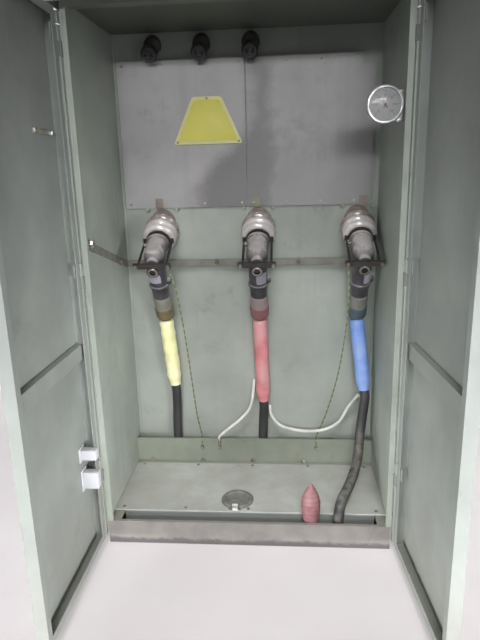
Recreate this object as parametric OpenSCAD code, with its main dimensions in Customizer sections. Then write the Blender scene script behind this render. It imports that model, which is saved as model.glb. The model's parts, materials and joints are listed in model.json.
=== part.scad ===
// Ground standing transformer: cable compartment in front with its two doors open,
// oil tank with cooling fins in the middle, closed cabinet behind.
// Millimetres. X to the right, Y to the back, Z up, ground at Z = 0.

/* [Enclosure] */
// Width over the side panels
body_w = 910; // [900:5:980]
// Depth of the cable compartment, front edge to tank wall
comp_d = 450; // [440:5:520]
// Depth of the cabinet behind the tank
rear_d = 300; // [260:5:400]
// Height of the tank cover and of the roofs where they meet it
cab_h = 1632; // [1628:2:1700]
// Thickness of the folded steel sheet
sheet_t = 3; // [2:0.5:4]
// Width of the fold that the doors close in front of
jamb_w = 15; // [12:1:18]
// Depth of the lip behind that fold
jamb_lip = 12; // [8:1:16]
// Fold of the side panels against the tank wall
panel_flange = 12; // [8:1:14]
// Fall of the roofs away from the tank, in degrees
roof_fall = 1.5; // [0.5:0.25:2]
// Overhang of the roofs past the cabinet
roof_over = 50; // [45:1:70]
// Gap between a roof skirt and the side panel
skirt_gap = 14; // [10:1:20]
// Height of the front header above the doors
header_h = 20; // [14:1:24]

/* [Base] */
// Height of the base channels
frame_h = 80; // [70:5:90]
// Flange width of the base channels
frame_flange = 40; // [34:1:50]
// Steel thickness of the base channels
frame_t = 5; // [4:0.5:7]
// Depth of the sill returns
sill_return = 12; // [8:1:16]
// Width of the cable slot behind the sill
slot_w = 50; // [48:1:60]
// Distance of the cable rail from the tank wall
rail_off = 55; // [52:1:62]
// Height of the cable rail above the floor plate
rail_h = 95; // [70:5:120]
// Distance of the anchor holes from the channel web
anchor_x = 30; // [25:1:40]
// Spacing of the anchor holes from front to back
anchor_y = 500; // [400:10:700]
// Diameter of the anchor holes
anchor_hole = 18; // [14:1:22]
// Thickness of the anchor tabs
anchor_t = 8; // [6:1:12]

/* [Doors] */
// Thickness of a door leaf
door_t = 32; // [26:1:36]
// Sheet thickness of a door leaf
door_skin = 2.5; // [1.5:0.25:3]
// Clear gap behind and between the doors
door_gap = 6; // [5:0.5:8]
// Lower edge of the doors above the ground
door_low = 35; // [25:5:60]
// Width of the folded lip round the inside of a leaf
door_lip = 22; // [14:1:30]
// Distance of the low hinge above the foot of a door
low_hinge_in = 235; // [150:5:300]
// Distance of the top hinge below the top of a door
top_hinge_in = 75; // [60:5:250]
// Opening angle of the left door as it stands
left_open = 90; // [60:1:118]
// Opening angle of the right door as it stands
right_open = 94; // [60:1:118]
// Radius of the hinge pins
pin_r = 4; // [3:0.25:5]
// Radius of the hinge barrels
barrel_r = 7; // [6.5:0.25:8]
// Length of one hinge barrel
barrel_h = 38; // [30:1:50]

/* [Tank] */
// Depth of the tank with its front wall
tank_d = 600; // [590:5:700]
// Distance of the tank sides inside the cabinet sides
tank_inset = 25; // [10:1:40]
// Thickness of the tank wall that carries the bushings
wall_t = 8; // [6:1:12]
// Thickness of the cover and of the rim that it is bolted to
cover_t = 10; // [8:1:14]
// Width of the rim past the tank sides
rim_w = 20; // [10:1:24]
// Number of cooling fins on each side
fin_count = 11; // [6:1:11]
// Spacing of the fins
fin_pitch = 48; // [40:1:50]
// Thickness of a fin
fin_t = 10; // [8:1:14]
// Depth of a fin
fin_d = 120; // [80:5:150]
// Lower edge of the fins
fin_low = 250; // [200:10:300]
// Height of the fins
fin_h = 1100; // [900:10:1180]
// Cut corners of the fins
fin_chamfer = 30; // [10:5:40]

/* [Terminations] */
// Distance of the left bushing from the left side panel
left_margin = 142; // [70:1:150]
// Distance of the right bushing from the right side panel
right_margin = 70; // [68:1:150]
// Height of the bushings on the tank wall
bushing_z = 1003; // [990:1:1010]
// Angle of the bushings below level
bushing_dip = 28; // [24:1:30]
// Radius of the bushing neck
neck_r = 34; // [32:0.5:36]
// Radius of the bushing sheds
shed_r = 59; // [50:1:60]
// Length of the porcelain body with its sheds
shed_len = 92; // [80:1:100]
// Length of the tapered bushing nose
nose_len = 78; // [60:1:90]
// Radius of the nose at its root
nose_r = 30; // [28:0.5:31]
// Radius of the nose at its tip
nose_tip_r = 24; // [20:0.5:26]
// Radius of the elbow body
elbow_r = 36; // [34:0.5:38]
// Length of the elbow leg from the bushing axis
leg_len = 262; // [240:2:266]
// Radius of the elbow leg at its foot
leg_r = 28; // [25:0.5:30]
// Half width of the bail bar
bail_reach = 62; // [56:1:66]
// Radius of the power cables
cable_r = 17; // [15:0.5:18]
// Wall thickness of the colour sleeves
sleeve_t = 10; // [3:0.5:10]
// Radius of the white earth leads
lead_r = 5.5; // [4:0.5:6]
// Radius of the thin bonding wires
wire_r = 2.5; // [1.5:0.5:3]

/* [Fittings] */
// Distance of the fuse holders below the roof
fuse_below = 40; // [36:1:44]
// Number of fuse holders
fuse_count = 3; // [1:1:3]
// Spacing of the fuse holders
fuse_pitch = 165; // [120:5:180]
// Radius of a fuse holder
fuse_r = 27; // [20:1:28]
// Length of a fuse holder
fuse_len = 84; // [60:2:110]
// Radius of the dial gauge
gauge_r = 47; // [40:1:48]
// Depth of the dial gauge
gauge_d = 44; // [35:1:50]
// Distance of the dial gauge below the roof
gauge_below = 297; // [200:1:400]
// Height of the earth bar on the tank wall
earth_z = 862; // [850:2:870]
// Height of the flat earth bar
earth_bar_h = 25; // [16:1:30]
// Thickness of the flat earth bar
earth_bar_t = 5; // [3:0.5:8]
// Radius of the floor bung
bung_r = 55; // [40:1:60]
// Radius of the lifting eyes
eye_r = 20; // [14:1:22]

/* [Hidden] */
$fn = 48;

// Clearance between round parts that fit in each other
fit = 0.3;
// Overlap of joined shapes, so that they become one piece
weld = 1;

half_w = body_w / 2;
inner_x = half_w - sheet_t;
base_len = comp_d + tank_d + rear_d;
front_y = -base_len / 2;
rear_y = base_len / 2;
wall_y = front_y + comp_d;
tank_y = wall_y + wall_t;
tank_back = wall_y + tank_d;

// Bushings, counted from the left: the middle one stands halfway between the others
left_bushing_x = left_margin - inner_x;
right_bushing_x = inner_x - right_margin;
function bushing_x(i) = left_bushing_x + i * (right_bushing_x - left_bushing_x) / 2;

// Height of a roof at a distance from the tank
function roof_z(distance) = cab_h - distance * tan(roof_fall);

door_top = roof_z(comp_d + wall_t) - header_h - 8;
header_z = door_top + 8;
floor_z = frame_h + sheet_t;
slot_y = front_y + sill_return;
floor_y = slot_y + slot_w;
rail_y = wall_y - rail_off;

// A shape drawn in Y and Z and carried along X
module along_x(from, to)
    translate([from, 0, 0]) rotate([90, 0, 90]) linear_extrude(to - from) children();

// A shape drawn in X and Z and carried along Y
module along_y(from, to)
    translate([0, to, 0]) rotate([90, 0, 0]) linear_extrude(to - from) children();

// A box from its lowest to its highest corner
module block(low, high) translate(low) cube(high - low);

module both_sides() {
    children();
    mirror([1, 0, 0]) children();
}

// Base frame

// A channel drawn with its web at the right and its flanges to the left
module channel_profile() {
    translate([-frame_t, 0]) square([frame_t, frame_h]);
    for (z = [0, frame_h - frame_t])
        translate([-frame_flange, z]) square([frame_flange, frame_t]);
}

tab_len = 60;

module skid() {
    difference() {
        union() {
            along_y(slot_y, rear_y) translate([half_w, 0]) channel_profile();
            for (y = [-anchor_y / 2, anchor_y / 2])
                block([half_w - weld, y - tab_len / 2, 0],
                    [half_w + 2 * anchor_x, y + tab_len / 2, anchor_t]);
        }
        for (y = [-anchor_y / 2, anchor_y / 2])
            translate([half_w + anchor_x, y, -weld])
                cylinder(d = anchor_hole, h = anchor_t + 2 * weld);
    }
}

module left_skid() color([0.44, 0.46, 0.44]) mirror([1, 0, 0]) skid();
module right_skid() color([0.44, 0.46, 0.44]) skid();

member_x = half_w - frame_flange;
member_places = [wall_y + frame_flange / 2, 0, tank_back - frame_flange / 2, rear_y - frame_flange / 2];

module cross_members() color([0.44, 0.46, 0.44])
    for (y = member_places)
        along_x(-member_x, member_x)
            translate([y - frame_flange / 2, 0]) mirror([1, 0]) channel_profile();

module front_sill() color([0.66, 0.65, 0.65])
    along_x(-half_w, half_w) {
        translate([front_y, 0]) square([frame_t, frame_h]);
        for (z = [0, frame_h - frame_t])
            translate([front_y, z]) square([sill_return, frame_t]);
    }

// Floor and cable rail

bung_at = [bushing_x(1) - 76, front_y + 130];
bung_neck_r = bung_r - 10;
floor_x = inner_x - fit;

module floor_plate() color([0.61, 0.63, 0.61])
    difference() {
        union() {
            block([-floor_x, floor_y, frame_h], [floor_x, rail_y, floor_z]);
            block([-member_x, floor_y, frame_h / 2], [member_x, floor_y + sheet_t, floor_z]);
        }
        translate([bung_at.x, bung_at.y, 0]) cylinder(r = bung_neck_r + fit, h = cab_h);
    }

module floor_bung() color([0.66, 0.67, 0.66])
    translate([bung_at.x, bung_at.y, floor_z])
        rotate_extrude()
            polygon([[0, -sheet_t], [bung_neck_r, -sheet_t], [bung_neck_r, 0], [bung_r, 0],
                [bung_r, 4], [bung_r - 5, 9], [bung_r - 14, 9], [bung_r - 20, 4], [0, 4]]);

rail_foot = 18;
rail_top = 10;

module cable_rail() color([0.50, 0.54, 0.50])
    along_x(-floor_x, floor_x) {
        translate([rail_y, floor_z]) square([sheet_t, rail_h]);
        translate([rail_y - rail_foot, floor_z]) square([rail_foot + sheet_t, sheet_t]);
        translate([rail_y, floor_z + rail_h - sheet_t]) square([rail_top, sheet_t]);
    }

// Cabinet shell

module under_roof(low)
    along_x(-half_w, half_w)
        polygon([[tank_y, low], [front_y, low], [front_y, roof_z(tank_y - front_y)], [tank_y, cab_h]]);

// Folded side panel: jamb and lip at the front, flange against the tank wall
module side_panel()
    intersection() {
        under_roof(frame_h);
        linear_extrude(cab_h) {
            translate([inner_x, front_y]) square([sheet_t, comp_d]);
            translate([half_w - jamb_w, front_y]) square([jamb_w, sheet_t]);
            translate([half_w - jamb_w, front_y]) square([sheet_t, jamb_lip]);
            translate([half_w - panel_flange, wall_y - sheet_t]) square([panel_flange, sheet_t]);
        }
    }

module left_side_panel() color([0.47, 0.50, 0.46]) mirror([1, 0, 0]) side_panel();
module right_side_panel() color([0.47, 0.50, 0.46]) side_panel();

header_d = 30;

module front_header() color([0.42, 0.44, 0.42])
    intersection() {
        under_roof(header_z);
        along_x(-(half_w - jamb_w), half_w - jamb_w) {
            translate([front_y, header_z]) square([sheet_t, cab_h - header_z]);
            translate([front_y, header_z]) square([header_d, sheet_t]);
            translate([front_y + header_d - sheet_t, header_z]) square([sheet_t, header_h / 2]);
        }
    }

// Roof sheet that falls from the tank to its outer edge, with a drip skirt on three sides
module roof(join, edge) {
    out = edge - roof_over;
    side_x = half_w + skirt_gap;
    along_x(-side_x - sheet_t, side_x + sheet_t)
        polygon([[join, cab_h], [join, cab_h + sheet_t],
            [out, roof_z(join - out) + sheet_t], [out, header_z],
            [out + sheet_t, header_z], [out + sheet_t, roof_z(join - out - sheet_t)]]);
    both_sides()
        along_x(side_x, side_x + sheet_t)
            polygon([[join, cab_h + sheet_t], [join, header_z], [out, header_z],
                [out, roof_z(join - out) + sheet_t]]);
}

module front_roof() color([0.38, 0.40, 0.38]) roof(tank_y, front_y);
module rear_roof() color([0.38, 0.40, 0.38]) mirror([0, 1, 0]) roof(-tank_back, -rear_y);

module rear_cabinet() color([0.47, 0.50, 0.46])
    along_x(-half_w, half_w)
        polygon([[tank_back, frame_h], [rear_y, frame_h],
            [rear_y, roof_z(rear_d)], [tank_back, cab_h]]);

// Tank

tank_half = half_w - tank_inset;
rim_x = tank_half + rim_w;
tank_top = cab_h - cover_t;

module tank_body() color([0.45, 0.48, 0.45]) {
    block([-tank_half, tank_y, frame_h], [tank_half, tank_back, tank_top]);
    block([-rim_x, tank_y, tank_top - cover_t], [rim_x, tank_back, tank_top]);
}

module tank_front_wall() color([0.55, 0.58, 0.54])
    along_x(-half_w, half_w)
        polygon([[wall_y, frame_h], [tank_y, frame_h], [tank_y, cab_h],
            [wall_y, roof_z(wall_t)]]);

hatch = [360, 240, 8];
tank_mid = (tank_y + tank_back) / 2;

module tank_cover() color([0.43, 0.46, 0.43]) {
    block([-rim_x, tank_y, tank_top], [rim_x, tank_back, cab_h]);
    translate([-hatch.x / 2, tank_mid - hatch.y / 2, cab_h - weld]) cube(hatch + [0, 0, weld]);
}

// Bank of flat fins on the side of the tank, tied by two round bars
fin_bank = (fin_count - 1) * fin_pitch;
fin_first = tank_mid - fin_bank / 2;
fin_wall = 2;
tie_r = 6;

module fin_profile()
    polygon([[tank_half, fin_low], [tank_half + fin_d - fin_chamfer, fin_low],
        [tank_half + fin_d, fin_low + fin_chamfer],
        [tank_half + fin_d, fin_low + fin_h - fin_chamfer],
        [tank_half + fin_d - fin_chamfer, fin_low + fin_h], [tank_half, fin_low + fin_h]]);

module cooling_fins() {
    for (i = [0 : fin_count - 1])
        along_y(fin_first + i * fin_pitch - fin_t / 2, fin_first + i * fin_pitch + fin_t / 2)
            fin_profile();
    block([tank_half, fin_first, fin_low], [tank_half + fin_wall, fin_first + fin_bank, fin_low + fin_h]);
    for (z = [fin_low + fin_h / 4, fin_low + fin_h * 3 / 4])
        translate([tank_half + fin_d, fin_first - fin_t / 2, z])
            rotate([-90, 0, 0]) cylinder(r = tie_r, h = fin_bank + fin_t);
}

module left_cooling_fins() color([0.44, 0.47, 0.44]) mirror([1, 0, 0]) cooling_fins();
module right_cooling_fins() color([0.44, 0.47, 0.44]) cooling_fins();

lug_t = 12;
lug_r = eye_r + 14;
lug_below = 60;
lug_z = tank_top - lug_below;
lug_x = tank_half + lug_r + 10;
lug_y = 12;

module lifting_lugs() color([0.42, 0.45, 0.42])
    both_sides()
        for (y = [tank_y + lug_y, tank_back - lug_y - lug_t])
            along_y(y, y + lug_t)
                difference() {
                    union() {
                        translate([lug_x, lug_z]) circle(r = lug_r);
                        polygon([[tank_half, lug_z - 3 * lug_r], [lug_x + lug_r, lug_z],
                            [lug_x, lug_z + lug_r], [tank_half, lug_z + lug_r]]);
                    }
                    translate([lug_x, lug_z]) circle(r = eye_r);
                }

valve_r = 25;
valve_x = tank_half - 110;
drain_r = 14;
drain_at = [tank_y + drain_r + 10, frame_h + 70];
drain_len = 60;
drain_head = 24;

module tank_valves() color([0.55, 0.55, 0.50]) {
    for (x = [-valve_x, valve_x])
        translate([x, tank_mid, cab_h])
            rotate_extrude()
                polygon([[0, 0], [valve_r + 7, 0], [valve_r + 7, 10], [valve_r - 7, 14],
                    [valve_r - 7, 44], [valve_r, 46], [valve_r, 58], [valve_r - 5, 64], [0, 64]]);
    translate([-tank_half, drain_at.x, drain_at.y])
        rotate([0, -90, 0]) {
            cylinder(r = drain_r + 8, h = 8);
            cylinder(r = drain_r, h = drain_len);
            translate([-drain_head / 2, -drain_head / 2, drain_len - weld])
                cube([drain_head, drain_head, 14]);
        }
}

// Grey sheets on the upper tank wall: two shallow folded trays, the right one notched

panel_above = 55;
panel_below = 87;
panel_low = bushing_z + panel_above;
panel_high = cab_h - panel_below;
panel_left = -(inner_x - panel_flange);
panel_right = inner_x - 2 * panel_flange;
panel_split = -2;
panel_gap = 4;
panel_fold = 10;
panel_notch = [44, 36];

module tray(left, right, notch) {
    shape = [[left, panel_low], [right, panel_low], [right, panel_high - notch.y],
        [right - notch.x, panel_high - notch.y], [right - notch.x, panel_high], [left, panel_high]];
    along_y(wall_y - panel_fold, wall_y - panel_fold + sheet_t / 2) polygon(shape);
    along_y(wall_y - panel_fold, wall_y) {
        for (z = [panel_low, panel_high - notch.y - sheet_t])
            translate([left, z]) square([right - left, sheet_t]);
        for (x = [left, right - sheet_t])
            translate([x, panel_low]) square([sheet_t, panel_high - notch.y - panel_low]);
    }
}

module upper_panels() color([0.54, 0.54, 0.53]) {
    tray(panel_left, panel_split - panel_gap / 2, [0, 0]);
    tray(panel_split + panel_gap / 2, panel_right, panel_notch);
}

// Earth bar on the tank wall, with its strap along the left side panel to the front jamb

bar_off = 20;
bar_y = wall_y - bar_off - earth_bar_t;
strap_rise = 120;
stud_r = 9;
strap_front = front_y + jamb_lip + 6;
stud_places = [-0.9, -0.28, 0.42, 0.9];

module earth_bar() color([0.30, 0.28, 0.26]) {
    block([-inner_x + weld, bar_y, earth_z - earth_bar_h / 2],
        [inner_x - panel_flange - 6, bar_y + earth_bar_t, earth_z + earth_bar_h / 2]);
    for (k = stud_places)
        translate([k * (inner_x - panel_flange - 20), bar_y + earth_bar_t - weld, earth_z])
            rotate([-90, 0, 0]) cylinder(r = stud_r, h = bar_off + weld);
    along_x(-inner_x, -inner_x + earth_bar_t)
        polygon([[bar_y + earth_bar_t, earth_z - earth_bar_h / 2],
            [bar_y + earth_bar_t, earth_z + earth_bar_h / 2],
            [bar_y, earth_z + earth_bar_h / 2],
            [strap_front, earth_z + strap_rise + earth_bar_h / 2],
            [strap_front, earth_z + strap_rise - earth_bar_h / 2],
            [bar_y, earth_z - earth_bar_h / 2]]);
}

// Round dial gauge on a bent bracket from the right side panel

gauge_z = cab_h - gauge_below;
gauge_rim = 1.5;
gauge_x = half_w - jamb_w - gauge_r - gauge_rim - 2.5;
gauge_face = front_y + 7;
gauge_back = gauge_face + gauge_d;
bracket_h = 80;

module dial_gauge() color([0.62, 0.62, 0.64]) {
    translate([gauge_x, gauge_back, gauge_z])
        rotate([90, 0, 0])
            rotate_extrude()
                polygon([[0, 0], [gauge_r - 4, 0], [gauge_r - 4, gauge_d - 12],
                    [gauge_r, gauge_d - 12], [gauge_r + gauge_rim, gauge_d - 8],
                    [gauge_r + gauge_rim, gauge_d - 2], [gauge_r - 1, gauge_d],
                    [gauge_r - 5, gauge_d], [gauge_r - 6, gauge_d - 4], [0, gauge_d - 4]]);
    block([gauge_x - gauge_r / 2, gauge_back - weld, gauge_z - bracket_h / 2],
        [inner_x, gauge_back + sheet_t, gauge_z + bracket_h / 2]);
    block([inner_x - sheet_t, gauge_back - weld, gauge_z - bracket_h / 2],
        [inner_x, gauge_back + 40, gauge_z + bracket_h / 2]);
}

// Bushings and elbows: each is drawn with its axis along Z, where Z = 0 is the
// axis on the tank wall and -Y is the way the elbow leg points

turret_len = 14;
neck_z = turret_len + shed_len;
neck_len = 12;
nose_z = neck_z + neck_len;
bend_z = nose_z + nose_len + 8;

module on_wall(x, z, dip)
    translate([x, wall_y, z]) rotate([90 + dip, 0, 0]) children();

// Point in the room of a point on the axis frame of a bushing
function from_axis(i, along, down) = [bushing_x(i),
    wall_y - along * cos(bushing_dip) + down * sin(bushing_dip),
    bushing_z - along * sin(bushing_dip) - down * cos(bushing_dip)];

shed_count = 3;
shed_pitch = shed_len / shed_count;
turret_r = neck_r + 12;

function shed_points(k) =
    let (z = turret_len + k * shed_pitch)
    [[neck_r + 10, z + shed_pitch * 0.12], [shed_r - 2, z + shed_pitch * 0.42],
        [shed_r, z + shed_pitch * 0.52], [shed_r - 3, z + shed_pitch * 0.62],
        [neck_r + 10, z + shed_pitch * 0.88]];

module bushing(i)
    intersection() {
        on_wall(bushing_x(i), bushing_z, bushing_dip)
            rotate_extrude()
                polygon(concat([[0, -turret_r], [turret_r, -turret_r], [turret_r, turret_len],
                    [neck_r + 10, turret_len]],
                    [for (k = [0 : shed_count - 1]) each shed_points(k)],
                    [[neck_r, neck_z], [neck_r, nose_z], [nose_r, nose_z],
                    [nose_tip_r, nose_z + nose_len], [0, nose_z + nose_len]]));
        block([-half_w, front_y, frame_h], [half_w, wall_y, cab_h]);
    }

module left_bushing() color([0.68, 0.64, 0.61]) bushing(0);
module middle_bushing() color([0.68, 0.64, 0.61]) bushing(1);
module right_bushing() color([0.68, 0.64, 0.61]) bushing(2);

cuff_z = nose_z + 3;
boss_r = 20;
boss_z = bend_z + elbow_r + 10;
lip_len = 16;
cable_seat = 60;

// Moulded elbow: cuff over the nose, round head with a front boss, leg down to the cable
module elbow(i)
    on_wall(bushing_x(i), bushing_z, bushing_dip)
        difference() {
            union() {
                translate([0, 0, cuff_z]) cylinder(r = elbow_r + 4, h = 14);
                translate([0, 0, cuff_z]) cylinder(r = elbow_r, h = bend_z - cuff_z);
                translate([0, 0, bend_z]) sphere(r = elbow_r);
                translate([0, 0, bend_z]) cylinder(r = boss_r, h = boss_z - bend_z - fit);
                translate([0, 0, bend_z]) rotate([90, 0, 0]) {
                    cylinder(r1 = elbow_r - 3, r2 = leg_r, h = leg_len);
                    translate([0, 0, leg_len - lip_len]) cylinder(r = leg_r + 3, h = lip_len);
                    translate([0, 0, leg_len * 0.42]) cylinder(r = elbow_r, h = 10);
                }
            }
            translate([0, 0, nose_z])
                cylinder(r1 = nose_r + fit, r2 = nose_tip_r + fit, h = nose_len + fit);
            translate([0, 0, bend_z]) rotate([90, 0, 0])
                translate([0, 0, leg_len - cable_seat]) cylinder(r = cable_r + fit, h = cable_seat + weld);
        }

module left_elbow() color([0.20, 0.20, 0.22]) elbow(0);
module middle_elbow() color([0.20, 0.20, 0.22]) elbow(1);
module right_elbow() color([0.20, 0.20, 0.22]) elbow(2);

// Bail that holds an elbow on its bushing: clamp ring, two rods, bar and pulling eye
bail_rod_r = 4;
bail_bar = [18, 10];
ring_t = neck_len - 3;
pull_r = 20;
pull_hole = 11;
rod_x = elbow_r + 4 + bail_rod_r + 3;

module bail(i)
    on_wall(bushing_x(i), bushing_z, bushing_dip) {
        difference() {
            union() {
                translate([0, 0, neck_z + 1]) cylinder(r = neck_r + 8, h = ring_t);
                translate([-rod_x - 6, -8, neck_z + 1]) cube([2 * rod_x + 12, 16, ring_t]);
            }
            translate([0, 0, neck_z]) cylinder(r = neck_r + fit, h = ring_t + 2 * weld);
        }
        for (x = [-rod_x, rod_x])
            translate([x, 0, neck_z + 1]) cylinder(r = bail_rod_r, h = boss_z - neck_z + weld);
        translate([-bail_reach, -bail_bar.x / 2, boss_z])
            cube([2 * bail_reach, bail_bar.x, bail_bar.y]);
        translate([0, -bail_bar.x / 2 - pull_r + 4, boss_z])
            difference() {
                cylinder(r = pull_r, h = bail_bar.y);
                translate([0, 0, -weld]) cylinder(r = pull_hole, h = bail_bar.y + 2 * weld);
            }
    }

module elbow_bails() color([0.24, 0.24, 0.26]) for (i = [0 : 2]) bail(i);

// Cables, sleeves and wires: swept along smoothed routes of points

function unit(v) = v / norm(v);
function tangent(p, i) = unit(p[min(i + 1, len(p) - 1)] - p[max(i - 1, 0)]);

// Side vector of each ring, carried along so that the tube doesn't twist
function carried(p, i, u) =
    i == len(p) ? [] :
    let (t = tangent(p, i), v = unit(u - (u * t) * t))
    concat([v], carried(p, i + 1, v));

function spline_point(a, b, c, d, f) =
    0.5 * (2 * b + (c - a) * f + (2 * a - 5 * b + 4 * c - d) * f * f
        + (3 * b - a - 3 * c + d) * f * f * f);

function smooth(p, steps) = concat(
    [for (i = [0 : len(p) - 2], k = [0 : steps - 1])
        spline_point(p[max(i - 1, 0)], p[i], p[i + 1], p[min(i + 2, len(p) - 1)], k / steps)],
    [p[len(p) - 1]]);

module tube(route, r, sides) {
    last = len(route) - 1;
    start = abs(tangent(route, 0).x) < 0.8 ? [1, 0, 0] : [0, 1, 0];
    across = carried(route, 0, start);
    points = [for (i = [0 : last], k = [0 : sides - 1])
        let (a = 360 * k / sides, t = tangent(route, i))
        route[i] + r * (cos(a) * across[i] + sin(a) * cross(t, across[i]))];
    walls = [for (i = [0 : last - 1], k = [0 : sides - 1])
        let (n = (k + 1) % sides)
        [i * sides + k, (i + 1) * sides + k, (i + 1) * sides + n, i * sides + n]];
    foot = [for (k = [0 : sides - 1]) k];
    head = [for (k = [sides - 1 : -1 : 0]) last * sides + k];
    polyhedron(points, concat(walls, [foot], [head]), convexity = 8);
}

// Foot of an elbow leg and points on its axis inside the leg
function leg_point(i, depth) = from_axis(i, bend_z, leg_len - depth);

cable_low = 4;
pit_y = wall_y - rail_off / 2 + sheet_t / 2;
slot_mid = slot_y + slot_w / 2;

// Below each elbow the cable turns down at a kink and runs straight through its sleeve
kink_gap = 8;
sleeve_gap = 12;
kinks = [for (i = [0 : 2]) leg_point(i, -kink_gap)];
sleeve_ways = [[19, 18, -282], [9, 18, -347], [32, -36, -282]];

function along_sleeve(i, distance) = kinks[i] + unit(sleeve_ways[i]) * distance;

// Stretch of a cable from its seat in the elbow to just below its sleeve
function cable_head(i) =
    let (length = norm(sleeve_ways[i]))
    concat([for (depth = [50, 25, 0]) leg_point(i, depth)], [kinks[i]],
        [for (d = [sleeve_gap, 40, length / 2, length - 30, length, length + 20]) along_sleeve(i, d)]);

left_route = concat(cable_head(0), [for (p = [[18, 300], [15, 220], [14, 120], [14, cable_low]])
    [bushing_x(0) + p[0], pit_y, p[1]]]);
middle_route = concat(cable_head(1), [for (p = [[6, 240], [4, 160], [4, cable_low]])
    [bushing_x(1) + p[0], pit_y, p[1]]]);
right_route = concat(cable_head(2), [for (p = [[20, 352, 238], [6, 292, 170], [-16, 222, 142],
    [-46, 142, 128], [-72, 82, 120]]) [bushing_x(2) + p[0], front_y + p[1], p[2]]],
    [[bushing_x(2) - 83, slot_mid + 15, 98], [bushing_x(2) - 89, slot_mid, 60],
    [bushing_x(2) - 90, slot_mid, cable_low]]);

module cable(route) tube(smooth(route, 3), cable_r, 12);

module left_cable() color([0.22, 0.22, 0.23]) cable(left_route);
module middle_cable() color([0.22, 0.22, 0.23]) cable(middle_route);
module right_cable() color([0.22, 0.22, 0.23]) cable(right_route);

// Shrunk sleeve on the straight stretch of a cable, thinner where it ends
module sleeve(i) {
    way = sleeve_ways[i];
    length = norm(way) - 2 * sleeve_gap;
    r_in = cable_r + fit;
    r_out = cable_r + sleeve_t;
    translate(along_sleeve(i, sleeve_gap))
        rotate([0, acos(way.z / norm(way)), atan2(way.y, way.x)])
            rotate_extrude()
                polygon([[r_in, 0], [r_out - 2, 0], [r_out, 6], [r_out, length * 0.45],
                    [r_out - 1, length * 0.5], [r_out - 1, length - 34],
                    [r_out - sleeve_t / 2, length - 10], [r_out - sleeve_t / 2, length],
                    [r_in, length]]);
}

module yellow_sleeve() color([0.91, 0.90, 0.62]) sleeve(0);
module red_sleeve() color([0.80, 0.52, 0.54]) sleeve(1);
module blue_sleeve() color([0.48, 0.60, 0.84]) sleeve(2);

// Lugs on the cable rail where leads and wires end
lug_places = [bushing_x(1) - 164, bushing_x(2) - 138, bushing_x(0) + 114];
lug_plate = [22, 4, 30];
rail_lug_z = floor_z + rail_h * 0.72;

module rail_lug(x)
    translate([x - lug_plate.x / 2, rail_y - lug_plate.y, rail_lug_z - lug_plate.z / 2])
        cube(lug_plate);

// End of a lead that stands on the top edge of a lug
function on_lug(x, up) = [x, rail_y - lug_plate.y - 3, rail_lug_z + lug_plate.z / 2 + up];

// Both leads come out beside a cable: one runs down to the rail, one hangs between two cables
lead_gap = cable_r + lead_r + fit;
lead_a = concat([along_sleeve(1, 248) - [lead_gap + sleeve_t, 0, 0],
    along_sleeve(1, 272) - [lead_gap + sleeve_t + 2, 2, 0]],
    [for (p = [[-40, 14, 318], [-80, 20, 268], [-122, 16, 230]])
        [bushing_x(1) + p[0], rail_y - p[1], p[2]]],
    [on_lug(lug_places[0] + 1, 22), on_lug(lug_places[0], -8)]);
lead_b = concat([along_sleeve(1, norm(sleeve_ways[1]) + 8) + [lead_gap, 0, 0]],
    [for (p = [[38, 2, 280], [66, 14, 246], [112, 20, 230], [176, 26, 224], [240, 24, 232],
        [292, 12, 258], [326, -2, 312]]) [bushing_x(1) + p[0], rail_y - p[1], p[2]]],
    [along_sleeve(2, norm(sleeve_ways[2]) + 9) - [lead_gap, 0, 0]]);

module earth_leads() color([0.76, 0.77, 0.74]) {
    for (route = [lead_a, lead_b]) tube(smooth(route, 3), lead_r, 10);
    rail_lug(lug_places[0]);
}

// Thin bonding wires from the bails down to the rail
function bail_end(i, side) =
    from_axis(i, boss_z + bail_bar.y / 2, bail_bar.x / 2 + wire_r - 1)
    + [side * (bail_reach - 8), 0, 0];

function bonding_route(i, side, points, lug) = concat([bail_end(i, side)],
    [for (p = points) [bushing_x(i) + p[0], front_y + p[1], p[2]]],
    [on_lug(lug_places[lug], 30), on_lug(lug_places[lug], 6), on_lug(lug_places[lug], -8)]);

wire_a = bonding_route(2, -1, [[-46, 238, 800], [-50, 268, 660], [-68, 316, 480], [-104, 370, 300]], 1);
wire_b = bonding_route(0, 1, [[74, 238, 800], [88, 268, 660], [96, 316, 480], [106, 352, 300]], 2);

module bonding_wires() color([0.42, 0.46, 0.24]) {
    for (route = [wire_a, wire_b]) tube(smooth(route, 3), wire_r, 8);
    for (i = [1, 2]) rail_lug(lug_places[i]);
}

// Fuse holders under the roof, and the capped spare tail in the cable slot

fuse_margin = 140;
fuse_first = fuse_margin - inner_x;
fuse_z = cab_h - fuse_below;
fuse_dip = 30;

module fuse_holders() color([0.16, 0.16, 0.16])
    intersection() {
        for (i = [0 : fuse_count - 1])
            on_wall(fuse_first + i * fuse_pitch, fuse_z, fuse_dip)
                rotate_extrude()
                    polygon([[0, -fuse_r], [fuse_r + 3, -fuse_r], [fuse_r + 3, 8], [fuse_r - 3, 12],
                        [fuse_r - 5, fuse_len - 24], [fuse_r, fuse_len - 22],
                        [fuse_r, fuse_len - 6], [fuse_r - 6, fuse_len], [0, fuse_len]]);
        block([-half_w, front_y, frame_h], [half_w, wall_y, cab_h]);
    }

tail_r = slot_w / 2 - 2.5;
tail_x = bushing_x(2) - 176;

module spare_tail() color([0.66, 0.46, 0.50])
    translate([tail_x, floor_y - tail_r - fit, 0])
        rotate_extrude()
            polygon([[0, 2], [tail_r - 5, 2], [tail_r - 5, 70], [tail_r, 84], [tail_r, 168],
                [tail_r - 5, 188], [tail_r - 12, 196], [0, 198]]);

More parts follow.
